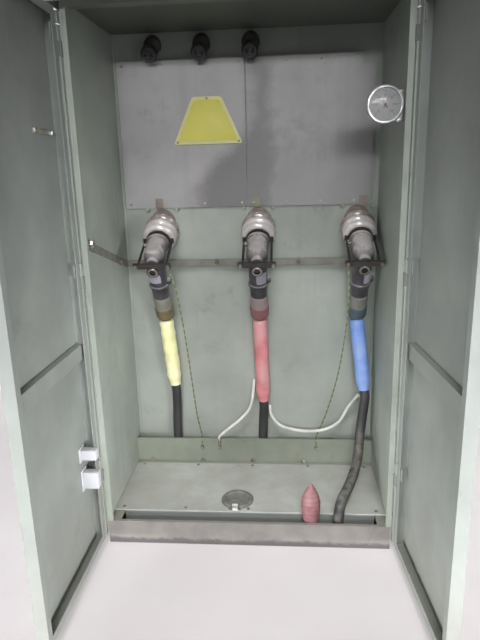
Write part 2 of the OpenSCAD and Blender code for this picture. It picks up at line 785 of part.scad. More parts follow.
// Doors: a leaf is drawn closed, with the hinge axis at the origin and the leaf to the left

hinge_out = 9;
hinge_fwd = 4;
hinge_x = half_w + hinge_out;
hinge_y = front_y - door_gap - hinge_fwd;
leaf_edge = -(hinge_out + door_gap);
leaf_free = -(hinge_x - door_gap / 2);
low_hinge_z = door_low + low_hinge_in;
top_hinge_z = door_top - top_hinge_in;
hinge_places = [low_hinge_z, (low_hinge_z + top_hinge_z) / 2, top_hinge_z];
bore_fit = 0.05;
arm_t = 4;
arm_len = 40;

stiffener_z = 650;
stiffener_h = 46;
stiffener_d = 18;

module stiffener_profile()
    difference() {
        square([stiffener_d, stiffener_h]);
        translate([-weld, door_skin]) square([stiffener_d - door_skin + weld, stiffener_h - 2 * door_skin]);
    }

module leaf() {
    outer_y = hinge_fwd - door_t;
    difference() {
        block([leaf_free, outer_y, door_low], [leaf_edge, hinge_fwd, door_top]);
        block([leaf_free + door_skin, outer_y + door_skin, door_low + door_skin],
            [leaf_edge - door_skin, hinge_fwd - door_skin, door_top - door_skin]);
        block([leaf_free + door_lip, outer_y + door_skin, door_low + door_lip],
            [leaf_edge - door_lip, hinge_fwd + weld, door_top - door_lip]);
    }
    along_x(leaf_free + door_skin, leaf_edge - door_skin)
        translate([outer_y + door_skin, stiffener_z]) stiffener_profile();
    for (z = hinge_places)
        difference() {
            union() {
                translate([0, 0, z]) cylinder(r = barrel_r, h = barrel_h);
                block([-arm_len, -arm_t, z], [0, 0, z + barrel_h]);
            }
            translate([0, 0, z - weld]) cylinder(r = pin_r + bore_fit, h = barrel_h + 2 * weld);
        }
}

module hang(angle) translate([hinge_x, hinge_y, 0]) rotate([0, 0, angle]) children();

module left_door() color([0.58, 0.60, 0.60]) mirror([1, 0, 0]) hang(left_open) leaf();
module right_door() color([0.53, 0.55, 0.52]) hang(right_open) leaf();

handle_z = (door_low + door_top) / 2 + 46;
handle_x = leaf_free + 46;
handle_plate = [36, 7, 180];

module handle()
    translate([handle_x, hinge_fwd - door_t, handle_z]) {
        translate([-handle_plate.x / 2, -handle_plate.y, -handle_plate.z / 2]) cube(handle_plate);
        rotate([90, 0, 0]) cylinder(r = 12, h = 22);
        translate([-9, -24, -78]) cube([18, 10, 90]);
    }

module door_handle() color([0.30, 0.31, 0.31]) hang(right_open) handle();

module rear_doors() color([0.47, 0.50, 0.46])
    mirror([0, 1, 0]) {
        hang(0) {
            leaf();
            handle();
        }
        mirror([1, 0, 0]) hang(0) leaf();
    }

// Fixed half of a lift-off hinge: plate on the side panel, barrel and pin
module hinge(z)
    hang(0) {
        translate([0, 0, z - barrel_h - fit]) cylinder(r = barrel_r, h = barrel_h);
        translate([0, 0, z - barrel_h]) cylinder(r = pin_r, h = 2 * barrel_h - 2);
        block([-hinge_out, -2, z - barrel_h - fit], [0, 2 + arm_t, z - fit]);
        block([-hinge_out, -2, z - barrel_h - fit],
            [-hinge_out + arm_t, front_y - hinge_y + arm_len, z - fit]);
    }

module door_hinges() color([0.40, 0.42, 0.40])
    both_sides()
        for (z = hinge_places) {
            hinge(z);
            mirror([0, 1, 0]) hinge(z);
        }

left_skid();
right_skid();
cross_members();
front_sill();
floor_plate();
floor_bung();
cable_rail();
left_side_panel();
right_side_panel();
front_header();
front_roof();
tank_body();
tank_front_wall();
tank_cover();
left_cooling_fins();
right_cooling_fins();
lifting_lugs();
tank_valves();
upper_panels();
earth_bar();
dial_gauge();
left_bushing();
middle_bushing();
right_bushing();
left_elbow();
middle_elbow();
right_elbow();
elbow_bails();
yellow_sleeve();
red_sleeve();
blue_sleeve();
left_cable();
middle_cable();
right_cable();
earth_leads();
bonding_wires();
fuse_holders();
spare_tail();
door_hinges();
left_door();
right_door();
door_handle();
rear_cabinet();
rear_doors();
rear_roof();
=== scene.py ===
import json
from math import atan2, cos, pi, radians, sin, sqrt

import bmesh
import bpy
from mathutils import Matrix, Vector, noise


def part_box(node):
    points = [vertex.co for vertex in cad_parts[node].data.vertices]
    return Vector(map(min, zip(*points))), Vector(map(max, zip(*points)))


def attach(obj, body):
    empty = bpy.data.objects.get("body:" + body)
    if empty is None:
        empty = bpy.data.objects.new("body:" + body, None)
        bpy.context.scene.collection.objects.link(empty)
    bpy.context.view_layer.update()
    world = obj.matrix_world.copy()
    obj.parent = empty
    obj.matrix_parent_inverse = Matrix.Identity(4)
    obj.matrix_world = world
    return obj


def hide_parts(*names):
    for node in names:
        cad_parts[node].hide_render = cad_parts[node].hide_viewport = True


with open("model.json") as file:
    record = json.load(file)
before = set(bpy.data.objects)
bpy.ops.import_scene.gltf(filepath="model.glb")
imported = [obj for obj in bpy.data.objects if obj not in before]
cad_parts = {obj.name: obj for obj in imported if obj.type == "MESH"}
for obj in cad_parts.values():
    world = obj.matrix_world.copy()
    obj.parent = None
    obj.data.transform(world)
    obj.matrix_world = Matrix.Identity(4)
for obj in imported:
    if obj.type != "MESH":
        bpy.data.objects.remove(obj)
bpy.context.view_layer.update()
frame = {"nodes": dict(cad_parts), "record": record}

scene = bpy.context.scene
FRONT = (0, -1, 0)
UP = (0, 0, 1)

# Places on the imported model, in metres
front_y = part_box("left_side_panel")[0].y
wall_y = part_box("tank_front_wall")[0].y
floor_low, floor_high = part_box("floor_plate")
floor_z = floor_high.z
rail_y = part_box("cable_rail")[1].y - 0.003
half_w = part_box("right_side_panel")[1].x
inner_x = half_w - 0.003
roof_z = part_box("front_roof")[1].z - 0.003
sheet_front = wall_y - 0.010
leaf_low, leaf_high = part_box("left_door")


def middle(node):
    low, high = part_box(node)
    return (low + high) / 2


# Sizes of the terminations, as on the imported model, in metres and degrees

sides = ("left", "middle", "right")
bushing_x = [middle(side + "_bushing").x for side in sides]
bushing_z = 1.003
bushing_dip = 28
turret_len = 0.014
turret_r = 0.046
shed_len = 0.092
shed_r = 0.059
shed_count = 3
neck_r = 0.034
neck_len = 0.012
nose_len = 0.078
leg_len = 0.262
elbow_r = 0.036
leg_r = 0.028
bail_reach = 0.062
bail_inset = 0.008
cable_r = 0.017
sleeve_t = 0.010
lead_r = 0.0055
wire_r = 0.0025
fit = 0.0003
neck_z = turret_len + shed_len
nose_z = neck_z + neck_len
bend_z = nose_z + nose_len + 0.008
boss_z = bend_z + elbow_r + 0.010
bail_bar = Vector((0.018, 0.010))


# Meshes

def vec(*values):
    return Vector(values)


def shift(*values):
    return Matrix.Translation(values)


def turned(degrees, axis):
    return Matrix.Rotation(radians(degrees), 4, axis)


def srgb(*levels):
    """A colour as a picture shows it, 0 to 255, turned into the linear colour that materials work in."""
    values = [level / 255 for level in levels]
    return (*[v / 12.92 if v <= 0.04045 else ((v + 0.055) / 1.055) ** 2.4 for v in values], 1.0)


def placed(name, data):
    """A new object in the scene."""
    obj = bpy.data.objects.new(name, data)
    scene.collection.objects.link(obj)
    return obj


def worked_out(obj):
    """The mesh of an object with its modifiers or letters turned into faces; the object goes."""
    bpy.context.view_layer.update()
    mesh = bpy.data.meshes.new_from_object(obj.evaluated_get(bpy.context.evaluated_depsgraph_get()))
    bpy.data.objects.remove(obj)
    return mesh


def mesh_from(bm):
    mesh = bpy.data.meshes.new("mesh")
    bm.to_mesh(mesh)
    bm.free()
    return mesh


def closed_mesh(bm):
    """The mesh with all its faces turned outwards."""
    bmesh.ops.recalc_face_normals(bm, faces=bm.faces)
    return mesh_from(bm)


def piece(name, shape, slot, replaces=(), smooth=35, body="cabinet"):
    """Adds a mesh or a list of parts, already in its place, as a named piece that rides on a body."""
    mesh = joined(shape) if isinstance(shape, list) else shape
    for polygon in mesh.polygons:
        polygon.use_smooth = True
    mesh.set_sharp_from_angle(angle=radians(smooth))
    mesh.name = name
    mesh.materials.clear()
    mesh.materials.append(materials[slot])
    obj = placed(name, mesh)
    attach(obj, body)
    if replaces:
        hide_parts(*replaces)


def joined(parts):
    """One mesh out of meshes, or of (mesh, matrix) pairs."""
    bm = bmesh.new()
    for part in parts:
        mesh, matrix = part if isinstance(part, tuple) else (part, Matrix())
        moved = mesh.copy()
        moved.transform(matrix)
        bm.from_mesh(moved)
        bpy.data.meshes.remove(moved)
    return mesh_from(bm)


def ring_at(bm, radius, height, count):
    """Corners of a level polygon, or a single one where the radius is 0."""
    angles = [2 * pi * k / count for k in range(count if radius else 1)]
    return [bm.verts.new((radius * cos(a), radius * sin(a), height)) for a in angles]


def bridge(bm, rings):
    """Faces from each ring of corners to the next; a ring of one corner closes an end."""
    for low, high in zip(rings, rings[1:]):
        count = max(len(low), len(high))
        for k in range(count):
            n = (k + 1) % count
            corners = [low[k % len(low)], low[n % len(low)], high[n % len(high)], high[k % len(high)]]
            unique = list(dict.fromkeys(corners))
            if len(unique) > 2:
                bm.faces.new(unique)


def revolved(profile, count):
    """Mesh of a profile of (radius, height) points turned round Z."""
    bm = bmesh.new()
    bridge(bm, [ring_at(bm, radius, height, count) for radius, height in profile])
    return closed_mesh(bm)


def rounded(points, radius, steps=4):
    """A profile whose inner corners are rounded off."""
    result = [points[0]]
    for before, here, after in zip(points, points[1:], points[2:]):
        before, here, after = Vector(before), Vector(here), Vector(after)
        cut = min(radius, (before - here).length * 0.45, (after - here).length * 0.45)
        start = here + (before - here).normalized() * cut
        end = here + (after - here).normalized() * cut
        for k in range(steps + 1):
            f = k / steps
            result.append(tuple((start * (1 - f) + here * f) * (1 - f) + (here * (1 - f) + end * f) * f))
    result.append(points[-1])
    return result


def row(start, end, count):
    """Evenly spaced points from a start to an end."""
    start, end = Vector(start), Vector(end)
    return [start + (end - start) * (k / (count - 1)) for k in range(count)]


def smooth_route(points, steps=6):
    """Points of a smooth curve through the given ones."""
    result = []
    last = len(points) - 1
    for i in range(last):
        a, b = points[max(i - 1, 0)], points[i]
        c, d = points[i + 1], points[min(i + 2, last)]
        for k in range(steps):
            f = k / steps
            result.append(0.5 * (2 * b + (c - a) * f + (2 * a - 5 * b + 4 * c - d) * f * f
                                 + (3 * b - a - 3 * c + d) * f ** 3))
    result.append(points[-1])
    return result


def swept(route, radius, count):
    """Tube along a route; radius is a number, or a function of the distance along and the angle round it."""
    bm = bmesh.new()
    across = vec(1, 0, 0) if abs((route[1] - route[0]).normalized().x) < 0.8 else vec(0, 1, 0)
    distance, rings = 0.0, []
    for i, point in enumerate(route):
        ahead = (route[min(i + 1, len(route) - 1)] - route[max(i - 1, 0)]).normalized()
        across = (across - ahead * across.dot(ahead)).normalized()
        side = ahead.cross(across)
        if i:
            distance += (point - route[i - 1]).length
        ring = []
        for k in range(count):
            angle = 2 * pi * k / count
            r = radius(distance, angle) if callable(radius) else radius
            ring.append(bm.verts.new(point + r * (cos(angle) * across + sin(angle) * side)))
        rings.append(ring)
    bridge(bm, rings)
    bm.faces.new(rings[0])
    bm.faces.new(rings[-1])
    return closed_mesh(bm)


def rounded_edges(bm, width):
    bmesh.ops.bevel(bm, geom=bm.edges[:], offset=width, segments=2, affect="EDGES", profile=0.5)
    return mesh_from(bm)


def slab(low, high, bevel):
    """A box between two opposite corners with its edges rounded."""
    bm = bmesh.new()
    bmesh.ops.create_cube(bm, size=1)
    pairs = list(zip(low, high))
    low = vec(*map(min, pairs))
    size = vec(*map(max, pairs)) - low
    for vert in bm.verts:
        vert.co = low + (vert.co + vec(0.5, 0.5, 0.5)) * size
    return rounded_edges(bm, min(bevel, min(size) * 0.4))


def plate(outline, thickness, bevel=0.0004, y=0.0, rim=None):
    """A flat plate of an outline in X and Z, from Y towards the front. Its edges are rounded by the bevel,
    or its face is pressed in by as much inside a rim."""
    bm = bmesh.new()
    back = bm.faces.new([bm.verts.new((x, y, z)) for x, z in outline])
    moved = bmesh.ops.extrude_face_region(bm, geom=[back])["geom"]
    for item in moved:
        if isinstance(item, bmesh.types.BMVert):
            item.co.y -= thickness
    if rim is not None:
        front = [item for item in moved if isinstance(item, bmesh.types.BMFace)]
        bmesh.ops.inset_region(bm, faces=front, thickness=rim, depth=0)
        bmesh.ops.inset_region(bm, faces=front, thickness=bevel, depth=-bevel)
        return closed_mesh(bm)
    bmesh.ops.recalc_face_normals(bm, faces=bm.faces)
    return rounded_edges(bm, bevel)


def soft_outline(points, radius):
    """A closed outline with its corners rounded."""
    return rounded([points[-1]] + points + [points[0]], radius)[1:-1]


def hex_bolt(across, height, washer=True):
    """Bolt head on its washer, seated on Z = 0."""
    radius = across / sqrt(3)
    base = height * 0.25 if washer else 0.0
    bm = bmesh.new()
    corners = ((radius, base), (radius, base + height * 0.8), (radius * 0.86, base + height))
    rings = [ring_at(bm, r, z, 6) for r, z in corners]
    bridge(bm, rings)
    bm.faces.new(rings[-1])
    head = mesh_from(bm)
    if not washer:
        return head
    disc = rounded([(0, 0), (radius * 1.35, 0), (radius * 1.35, base), (0, base)], base * 0.4)
    return joined([revolved(disc, 24), head])


def dome_screw(radius, height):
    """Low round head, seated on Z = 0."""
    return revolved([(radius, 0), (radius, height * 0.3), (radius * 0.9, height * 0.7),
                     (radius * 0.6, height * 0.95), (0, height)], 20)


def aimed(place, direction, spin=0.0, ahead="Z"):
    """Matrix that carries the origin to a place and the axis ahead to a direction."""
    turn = Vector(direction).to_track_quat(ahead, "Y").to_matrix().to_4x4()
    return shift(*place) @ turn @ Matrix.Rotation(spin, 4, "Z")


def fasteners(name, template, places, direction, slot="zinc_bolt", body="cabinet"):
    """Copies of one fastener in one mesh, each turned a little differently."""
    parts = [(template, aimed(place, direction, 0.7 * k)) for k, place in enumerate(places)]
    piece(name, parts, slot, body=body)


# Materials

class Nodes:
    """A node tree, built with a few short calls."""

    def __init__(self, owner):
        owner.use_nodes = True
        self.tree = owner.node_tree

    def add(self, kind, inputs=None, **settings):
        node = self.tree.nodes.new("ShaderNode" + kind)
        for key, value in settings.items():
            setattr(node, key, value)
        for key, value in (inputs or {}).items():
            self.feed(node.inputs[key], value)
        return node

    def feed(self, socket, value):
        if isinstance(value, bpy.types.NodeSocket):
            self.tree.links.new(value, socket)
        else:
            socket.default_value = value

    def math(self, operation, a, b=0.0, clamp=True):
        return self.add("Math", {0: a, 1: b}, operation=operation, use_clamp=clamp).outputs[0]

    def seen_directly(self):
        """1 for what is seen, also in a reflection or through glass, and 0 for light that spreads."""
        path = self.add("LightPath").outputs
        mirrored = self.math("ADD", path["Is Camera Ray"], path["Is Glossy Ray"])
        return self.math("ADD", mirrored, path["Is Transmission Ray"])


class Shader(Nodes):
    """A material's node tree with its patterns, masks and layers."""

    def __init__(self, name, colour, factor=1.0):
        self.material = bpy.data.materials.new(name)
        super().__init__(self.material)
        self.own, self.colour = colour, shade(colour, factor)
        self.skin = None
        self.bsdf = self.tree.nodes["Principled BSDF"]
        self.place = self.add("TexCoord").outputs["Object"]
        self.normal = self.add("NewGeometry").outputs["Normal"]

    def noise(self, scale, detail=4.0, stretch=(1, 1, 1), rough=0.55, shift=0.0):
        mapped = self.add("Mapping", {
            "Vector": self.place, "Scale": stretch, "Location": (shift, shift * 0.7, shift * 0.3)})
        return self.add("TexNoise", {
            "Vector": mapped.outputs["Vector"], "Scale": scale, "Detail": detail,
            "Roughness": rough}).outputs["Fac"]

    def band(self, value, low, high, start=0.0, end=1.0):
        """A start value below one level, an end value above another, and a soft step between them."""
        return self.add("MapRange", {
            "Value": value, "From Min": low, "From Max": high, "To Min": start, "To Max": end},
            interpolation_type="SMOOTHSTEP").outputs["Result"]

    def patches(self, scale, detail, low, high, start=0.0, end=1.0, **settings):
        """Noise cut into patches."""
        return self.band(self.noise(scale, detail, **settings), low, high, start, end)

    def times(self, a, b):
        return self.math("MULTIPLY", a, b)

    def plus(self, a, b):
        return self.math("ADD", a, b, clamp=False)

    def coat(self, mask, top, amount=None):
        """Lays a colour, or the material's own one by a factor, over the one so far where a mask is 1, at
        most to an amount."""
        top = shade(self.own, top) if isinstance(top, float) else top
        factor = mask if amount is None else self.times(mask, amount)
        self.colour = self.add("Mix", {0: factor, 6: self.colour, 7: top}, data_type="RGBA").outputs[2]

    def part(self, vector, axis):
        return self.add("SeparateXYZ", {0: vector}).outputs[axis]

    def dot(self, a, b):
        return self.add("VectorMath", {0: a, 1: b}, operation="DOT_PRODUCT").outputs["Value"]

    def facing_up(self, low, high):
        return self.band(self.part(self.normal, 2), low, high)

    def soft_edges(self, width):
        return self.add("Bevel", {"Radius": width}, samples=4).outputs[0]

    def edges(self, width):
        """1 along convex and concave edges, 0 on flat ground."""
        return self.band(self.dot(self.soft_edges(width), self.normal), 0.995, 0.80)

    def bump(self, height, depth, strength):
        """Lays relief over the skin so far."""
        inputs = {"Height": height, "Distance": depth, "Strength": strength}
        if self.skin is not None:
            inputs["Normal"] = self.skin
        self.skin = self.add("Bump", inputs).outputs["Normal"]

    def finish(self, rough, **values):
        values.update({"Base Color": self.colour, "Roughness": rough, "Normal": self.skin})
        for key, value in values.items():
            self.feed(self.bsdf.inputs[key.replace("_", " ")], value)
        return self.material


DUST = srgb(172, 168, 156)
GRIME = srgb(58, 56, 50)
RUST = srgb(104, 62, 38)
BACKDROP = srgb(233, 230, 231)


def shade(colour, factor):
    return tuple(min(1.0, c * factor) for c in colour[:3]) + (1.0,)


def paint(name, colour, tone=0.18, dust=0.35, floor_dust=0.35, streaks=0.25, grime=0.3, chips=0.35,
          rust=0.15, rough=0.5, stain=None, seed=0.0):
    """Weathered sheet metal paint: uneven tone, rain streaks, dust on what faces up and near the
    ground, grime in patches, and chips and rust along the edges."""
    s = Shader(name, colour, 1 - tone)
    cloud = s.noise(2.3, 5, shift=seed)
    patch = s.noise(11.0, 6, shift=seed + 3)
    s.coat(s.band(cloud, 0.3, 0.7), 1 + tone)
    s.coat(s.band(patch, 0.45, 0.75), 0.86, 0.35)
    streak = s.times(s.patches(24.0, 5, 0.5, 0.72, stretch=(1, 1, 0.035), shift=seed + 1),
                     s.patches(3.1, 3, 0.35, 0.65, shift=seed + 8))
    s.coat(streak, 0.62, streaks)
    s.coat(s.patches(6.0, 8, 0.56, 0.74, rough=0.68, shift=seed + 12), GRIME, grime)
    dusty = s.times(s.facing_up(0.35, 0.95), s.band(patch, 0.25, 0.7, 0.45, 1.0))
    s.coat(dusty, DUST, dust)
    low = s.band(s.part(s.place, 2), 0.42, 0.04)
    splash = s.times(low, s.patches(15.0, 6, 0.35, 0.66, 0.25, 1.0, shift=seed + 2))
    s.coat(splash, shade(DUST, 0.82), floor_dust)
    # The optional mask darkens the colour to 40 %; the masks given to it paint contact shadow, shade and a
    # dark reflection.
    if stain is not None:
        s.coat(stain(s), 0.40)
    chip = s.times(s.edges(0.004), s.patches(70.0, 6, 0.5, 0.6, rough=0.7, shift=seed + 4))
    s.coat(chip, 1.7, chips)
    spot = s.patches(34.0, 8, 0.66, 0.72, rough=0.72, shift=seed + 9)
    rusty = s.math("MAXIMUM", s.times(chip, s.band(cloud, 0.5, 0.62)), s.times(spot, 0.6))
    s.coat(rusty, RUST, rust)
    rough = s.math("ADD", rough, s.times(s.math("MAXIMUM", dusty, splash), 0.3))
    s.skin = s.soft_edges(0.0015)
    s.bump(s.noise(4.0, 2, shift=seed + 6), 0.0016, 0.5)
    s.bump(s.noise(620.0, 2), 0.00012, 0.5)
    s.bump(s.noise(90.0, 5, shift=seed + 5), 0.0002, 0.35)
    return s.finish(rough)


def damp_stain(s):
    """Painted dark reflection where the two grey sheets meet, wider below; the right sheet is darker."""
    z = s.part(s.place, 2)
    x = s.plus(s.part(s.place, 0), s.patches(5.0, 6, 0.25, 0.75, -0.03, 0.03, rough=0.7))
    left = s.math("SUBTRACT", x, s.band(z, 1.36, 1.12, 0.01, -0.17), clamp=False)
    right = s.plus(x, -0.095)
    # Painted dark reflection: a soft band along the seam between the sheets.
    stain = s.times(s.times(s.band(left, -0.055, 0.055), s.band(right, 0.05, -0.05)), 0.95)
    other = s.times(s.band(x, 0.0, 0.11), s.band(z, 1.40, 1.08, 0.22, 0.46))
    return s.math("MAXIMUM", stain, other)


def damp_foot(s):
    """Painted contact shadow: a dark ragged band along the ground."""
    ragged = s.patches(30.0, 5, 0.25, 0.75, -0.006, 0.006, rough=0.65)
    return s.times(s.band(s.plus(s.part(s.place, 2), ragged), 0.026, 0.010), 0.9)


def dark_underside(s):
    """Painted shade on what faces the ground."""
    return s.times(s.facing_up(-0.4, -0.9), 0.8)


def dark_lip(s):
    """The turned down front edge of the floor, darkened with painted shade by its slot."""
    return s.times(s.band(s.part(s.place, 2), 0.0815, 0.0760), 0.95)


def metal(name, colour, rough=0.4, tarnish=0.5, tarnish_colour=GRIME, rust=0.0, metallic=1.0):
    """Bare or plated metal with dull patches."""
    s = Shader(name, colour)
    patch = s.noise(22.0, 6, rough=0.65)
    s.coat(s.band(patch, 0.4, 0.68), tarnish_colour, tarnish)
    s.coat(s.patches(60.0, 7, 0.42, 0.6, rough=0.7, shift=4), RUST, rust)
    rough = s.math("ADD", rough, s.band(patch, 0.35, 0.7, 0.0, 0.3))
    s.skin = s.soft_edges(0.0008)
    s.bump(s.noise(240.0, 4), 0.0002, 0.5)
    return s.finish(rough, Metallic=metallic)


def mould(s, grain):
    """Fine grain and slow unevenness of a rubber or plastic skin."""
    s.skin = s.soft_edges(0.0008)
    s.bump(s.noise(500.0, 3), grain, 0.6)
    s.bump(s.noise(26.0, 3, shift=3), 0.0012, 0.35)


def scratch(s, bright, amount):
    s.coat(s.patches(60.0, 4, 0.62, 0.7, stretch=(6, 6, 0.4), shift=9), bright, amount)


def polymer(name, colour, rough=0.5, dust=0.3, fade=None, scratches=0.2):
    """Rubber or plastic with dust on top, faded patches and fine scratches."""
    s = Shader(name, colour, 0.85)
    s.coat(s.patches(14.0, 5, 0.3, 0.7), 1.15)
    if fade is not None:
        s.coat(s.patches(9.0, 4, 0.4, 0.66, shift=6), srgb(*fade))
    dusty = s.times(s.facing_up(-0.1, 0.95), s.patches(40.0, 6, 0.3, 0.66, shift=2))
    s.coat(dusty, DUST, dust)
    scratch(s, 1.8, scratches)
    mould(s, 0.00015)
    return s.finish(s.math("ADD", rough, s.times(dusty, 0.25)))


def dusty_rubber():
    """Bluish black rubber, rubbed on its sides, with dust in ragged patches where it faces up."""
    s = Shader("elbow_rubber", srgb(50, 49, 54))
    s.coat(s.patches(16.0, 5, 0.3, 0.7), srgb(74, 73, 81))
    ragged = s.patches(46.0, 8, 0.28, 0.72, -0.26, 0.26, rough=0.72, shift=2)
    up = s.plus(s.part(s.normal, 2), ragged)
    heavy = s.times(s.band(up, 0.26, 0.70), s.patches(24.0, 5, 0.25, 0.6, 0.70, 1.0, shift=4))
    dusty = s.math("MAXIMUM", s.times(s.band(up, -0.45, 0.45), 0.36), heavy)
    s.coat(dusty, srgb(178, 172, 170))
    scratch(s, srgb(128, 126, 134), 0.25)
    mould(s, 0.0002)
    return s.finish(s.math("ADD", 0.44, s.times(dusty, 0.5)))


def glaze():
    """Cream glazed porcelain, dusty on top, brownish in the grooves and by the wall."""
    s = Shader("porcelain", srgb(206, 200, 200), 0.85)
    s.coat(s.patches(30.0, 4, 0.3, 0.7), 1.08)
    s.coat(s.edges(0.012), srgb(128, 108, 96), 0.45)
    dusty = s.times(s.facing_up(0.2, 0.95), s.patches(50.0, 5, 0.3, 0.65, shift=1))
    s.coat(dusty, DUST, 0.4)
    axis = turned(90 + bushing_dip, "X") @ Vector(UP)
    start = axis.dot(vec(0, wall_y, bushing_z))
    by_wall = s.band(s.dot(s.place, axis), start + 0.056, start + 0.032)
    s.coat(s.times(by_wall, s.patches(45.0, 4, 0.3, 0.6, 0.55, 1.0, shift=5)), srgb(118, 102, 92), 0.8)
    s.coat(s.patches(210.0, 3, 0.68, 0.72, shift=7), srgb(84, 66, 52), 0.5)
    s.bump(s.noise(120.0, 2), 0.0001, 0.3)
    return s.finish(s.math("ADD", 0.22, s.times(dusty, 0.4)), Coat_Weight=0.35, Coat_Roughness=0.12)


def striped_wire():
    """Green insulation with a yellow stripe that winds round the wire."""
    s = Shader("bonding_wire", srgb(92, 112, 80))
    wave = s.math("MULTIPLY", s.part(s.place, 2), 260.0, clamp=False)
    s.coat(s.band(s.math("SINE", wave, clamp=False), 0.1, 0.5), srgb(158, 154, 100))
    s.coat(s.patches(60.0, 5, 0.35, 0.7), srgb(118, 119, 106), 0.6)
    s.bump(s.noise(300.0, 2), 0.0001, 0.5)
    return s.finish(0.5)


def thin_glass():
    """Almost clear cover with a film of dust."""
    s = Shader("dusty_glass", srgb(168, 170, 172))
    s.coat(s.patches(60.0, 5, 0.35, 0.7), srgb(190, 188, 182))
    s.bump(s.noise(35.0, 2), 0.0002, 0.2)
    return s.finish(0.12, Alpha=0.16)


def pale_floor():
    """Pale floor with the object's shadow on it, which turns into the backdrop further out."""
    s = Shader("stage_floor", srgb(196, 189, 191))
    s.coat(s.patches(1.4, 4, 0.3, 0.7), srgb(208, 202, 203))
    s.bump(s.noise(160.0, 3), 0.0003, 0.3)
    s.finish(0.8)
    seen = s.seen_directly()
    distance = s.add("VectorMath", {0: s.place}, operation="LENGTH").outputs["Value"]
    glow = s.add("Emission", {"Color": BACKDROP, "Strength": s.times(seen, 0.26)})
    near = s.add("AddShader", {0: s.bsdf.outputs[0], 1: glow.outputs[0]})
    far = s.add("Emission", {"Color": BACKDROP, "Strength": 1.0})
    fade = s.times(seen, s.band(distance, 1.5, 4.2))
    both = s.add("MixShader", {0: fade, 1: near.outputs[0], 2: far.outputs[0]})
    s.feed(s.tree.nodes["Material Output"].inputs["Surface"], both.outputs[0])
    return s.material


materials = {"porcelain": glaze(), "elbow_rubber": dusty_rubber(), "bonding_wire": striped_wire(),
             "dusty_glass": thin_glass()}


def make(kind, name, *colour, **settings):
    materials[name] = kind(name, srgb(*colour), **settings)


make(paint, "frame_paint", 118, 122, 118, floor_dust=0.7, rust=0.5, stain=damp_foot, seed=1)
make(paint, "sill_paint", 124, 120, 120, floor_dust=0.4, rust=0.45, chips=0.6, stain=damp_foot, seed=2)
make(paint, "floor_paint", 192, 196, 192, dust=0.4, floor_dust=0.3, grime=0.45, stain=dark_lip, seed=3)
make(paint, "rail_paint", 132, 141, 128, seed=4)
make(paint, "shell_paint", 154, 161, 153, stain=dark_underside, seed=5)
make(paint, "roof_paint", 124, 130, 122, dust=0.55, rust=0.35, stain=dark_underside, seed=6)
make(paint, "tank_paint", 130, 136, 128, streaks=0.4, rust=0.3, seed=7)
make(paint, "wall_paint", 158, 164, 157, streaks=0.24, grime=0.26, seed=8)
make(paint, "grey_sheet", 165, 163, 164, streaks=0.3, rough=0.42, stain=damp_stain, seed=9)
make(paint, "hinge_steel", 112, 118, 112, rust=0.6, chips=0.8, seed=10)
make(paint, "door_paint", 148, 153, 149, streaks=0.2, grime=0.2, seed=11)
make(paint, "plate_yellow", 252, 243, 121, tone=0.10, streaks=0.3, grime=0.25, chips=0.0, rust=0.0, seed=12)
make(paint, "plate_white", 198, 199, 204, tone=0.06, grime=0.15, seed=13)
make(paint, "dial_face", 152, 152, 154, tone=0.05, streaks=0.1, grime=0.1, chips=0.0, rust=0.0, seed=14)
make(paint, "plate_pale", 236, 232, 164, tone=0.06, streaks=0.2, grime=0.15, chips=0.0, rust=0.0, seed=15)
make(metal, "valve_metal", 138, 126, 96, rough=0.5, tarnish=0.75)
make(metal, "earth_copper", 124, 126, 118, rough=0.55, tarnish_colour=srgb(104, 98, 88), metallic=0.15)
make(metal, "gauge_metal", 168, 168, 170, rough=0.3, tarnish=0.3)
make(metal, "bail_steel", 84, 84, 86, rough=0.45, tarnish=0.7, rust=0.2, metallic=0.8)
make(metal, "zinc_bolt", 176, 174, 168, rough=0.35, tarnish=0.4, rust=0.25)
make(metal, "rusty_bolt", 116, 108, 98, rough=0.6, tarnish_colour=srgb(88, 78, 68), rust=0.25, metallic=0.3)
make(metal, "bright_ring", 196, 196, 194, rough=0.25, tarnish=0.25)
make(polymer, "bung_rubber", 104, 106, 102, rough=0.65, dust=0.35)
for name, colour, fade in (
        ("yellow", (248, 245, 182), (250, 248, 203)), ("red", (217, 135, 141), (222, 160, 164)),
        ("blue", (121, 154, 222), (144, 172, 226))):
    make(polymer, f"{name}_plastic", *colour, fade=fade, scratches=0.3)
make(polymer, "faded_red_plastic", 160, 112, 118, fade=(142, 98, 102))
make(polymer, "cable_jacket", 52, 52, 54, dust=0.4)
make(polymer, "white_lead", 216, 216, 209, rough=0.45, dust=0.2)
make(polymer, "fuse_plastic", 53, 53, 54, rough=0.45)
make(polymer, "handle_metal", 40, 40, 41, rough=0.45)
make(polymer, "dial_black", 30, 30, 32, rough=0.4, dust=0.1)
make(polymer, "dial_red", 150, 52, 44, rough=0.4, dust=0.1)
# The end tapes take darker copies of the yellow, red and blue sleeve colours: painted shade on the collar
# just above each sleeve.
for side, tape, shaded_end_tape in (
        ("left", (138, 136, 128), (112, 102, 76)), ("middle", (162, 146, 146), (142, 98, 102)),
        ("right", (122, 124, 118), (76, 90, 100))):
    make(polymer, f"tape_{side}", *tape, rough=0.6, dust=0.35)
    make(polymer, f"end_tape_{side}", *shaded_end_tape, rough=0.6)
make(polymer, "tag_grey", 166, 163, 174, rough=0.35)
make(polymer, "mark_brown", 138, 126, 121, rough=0.6, dust=0.35)
make(polymer, "mark_olive", 136, 135, 116, rough=0.6, dust=0.35)

for entry in frame["record"]["subparts"]:
    node = frame["nodes"][entry["node"]]
    node.data.materials.clear()
    node.data.materials.append(materials[entry["material_slot"]])


# Terminations

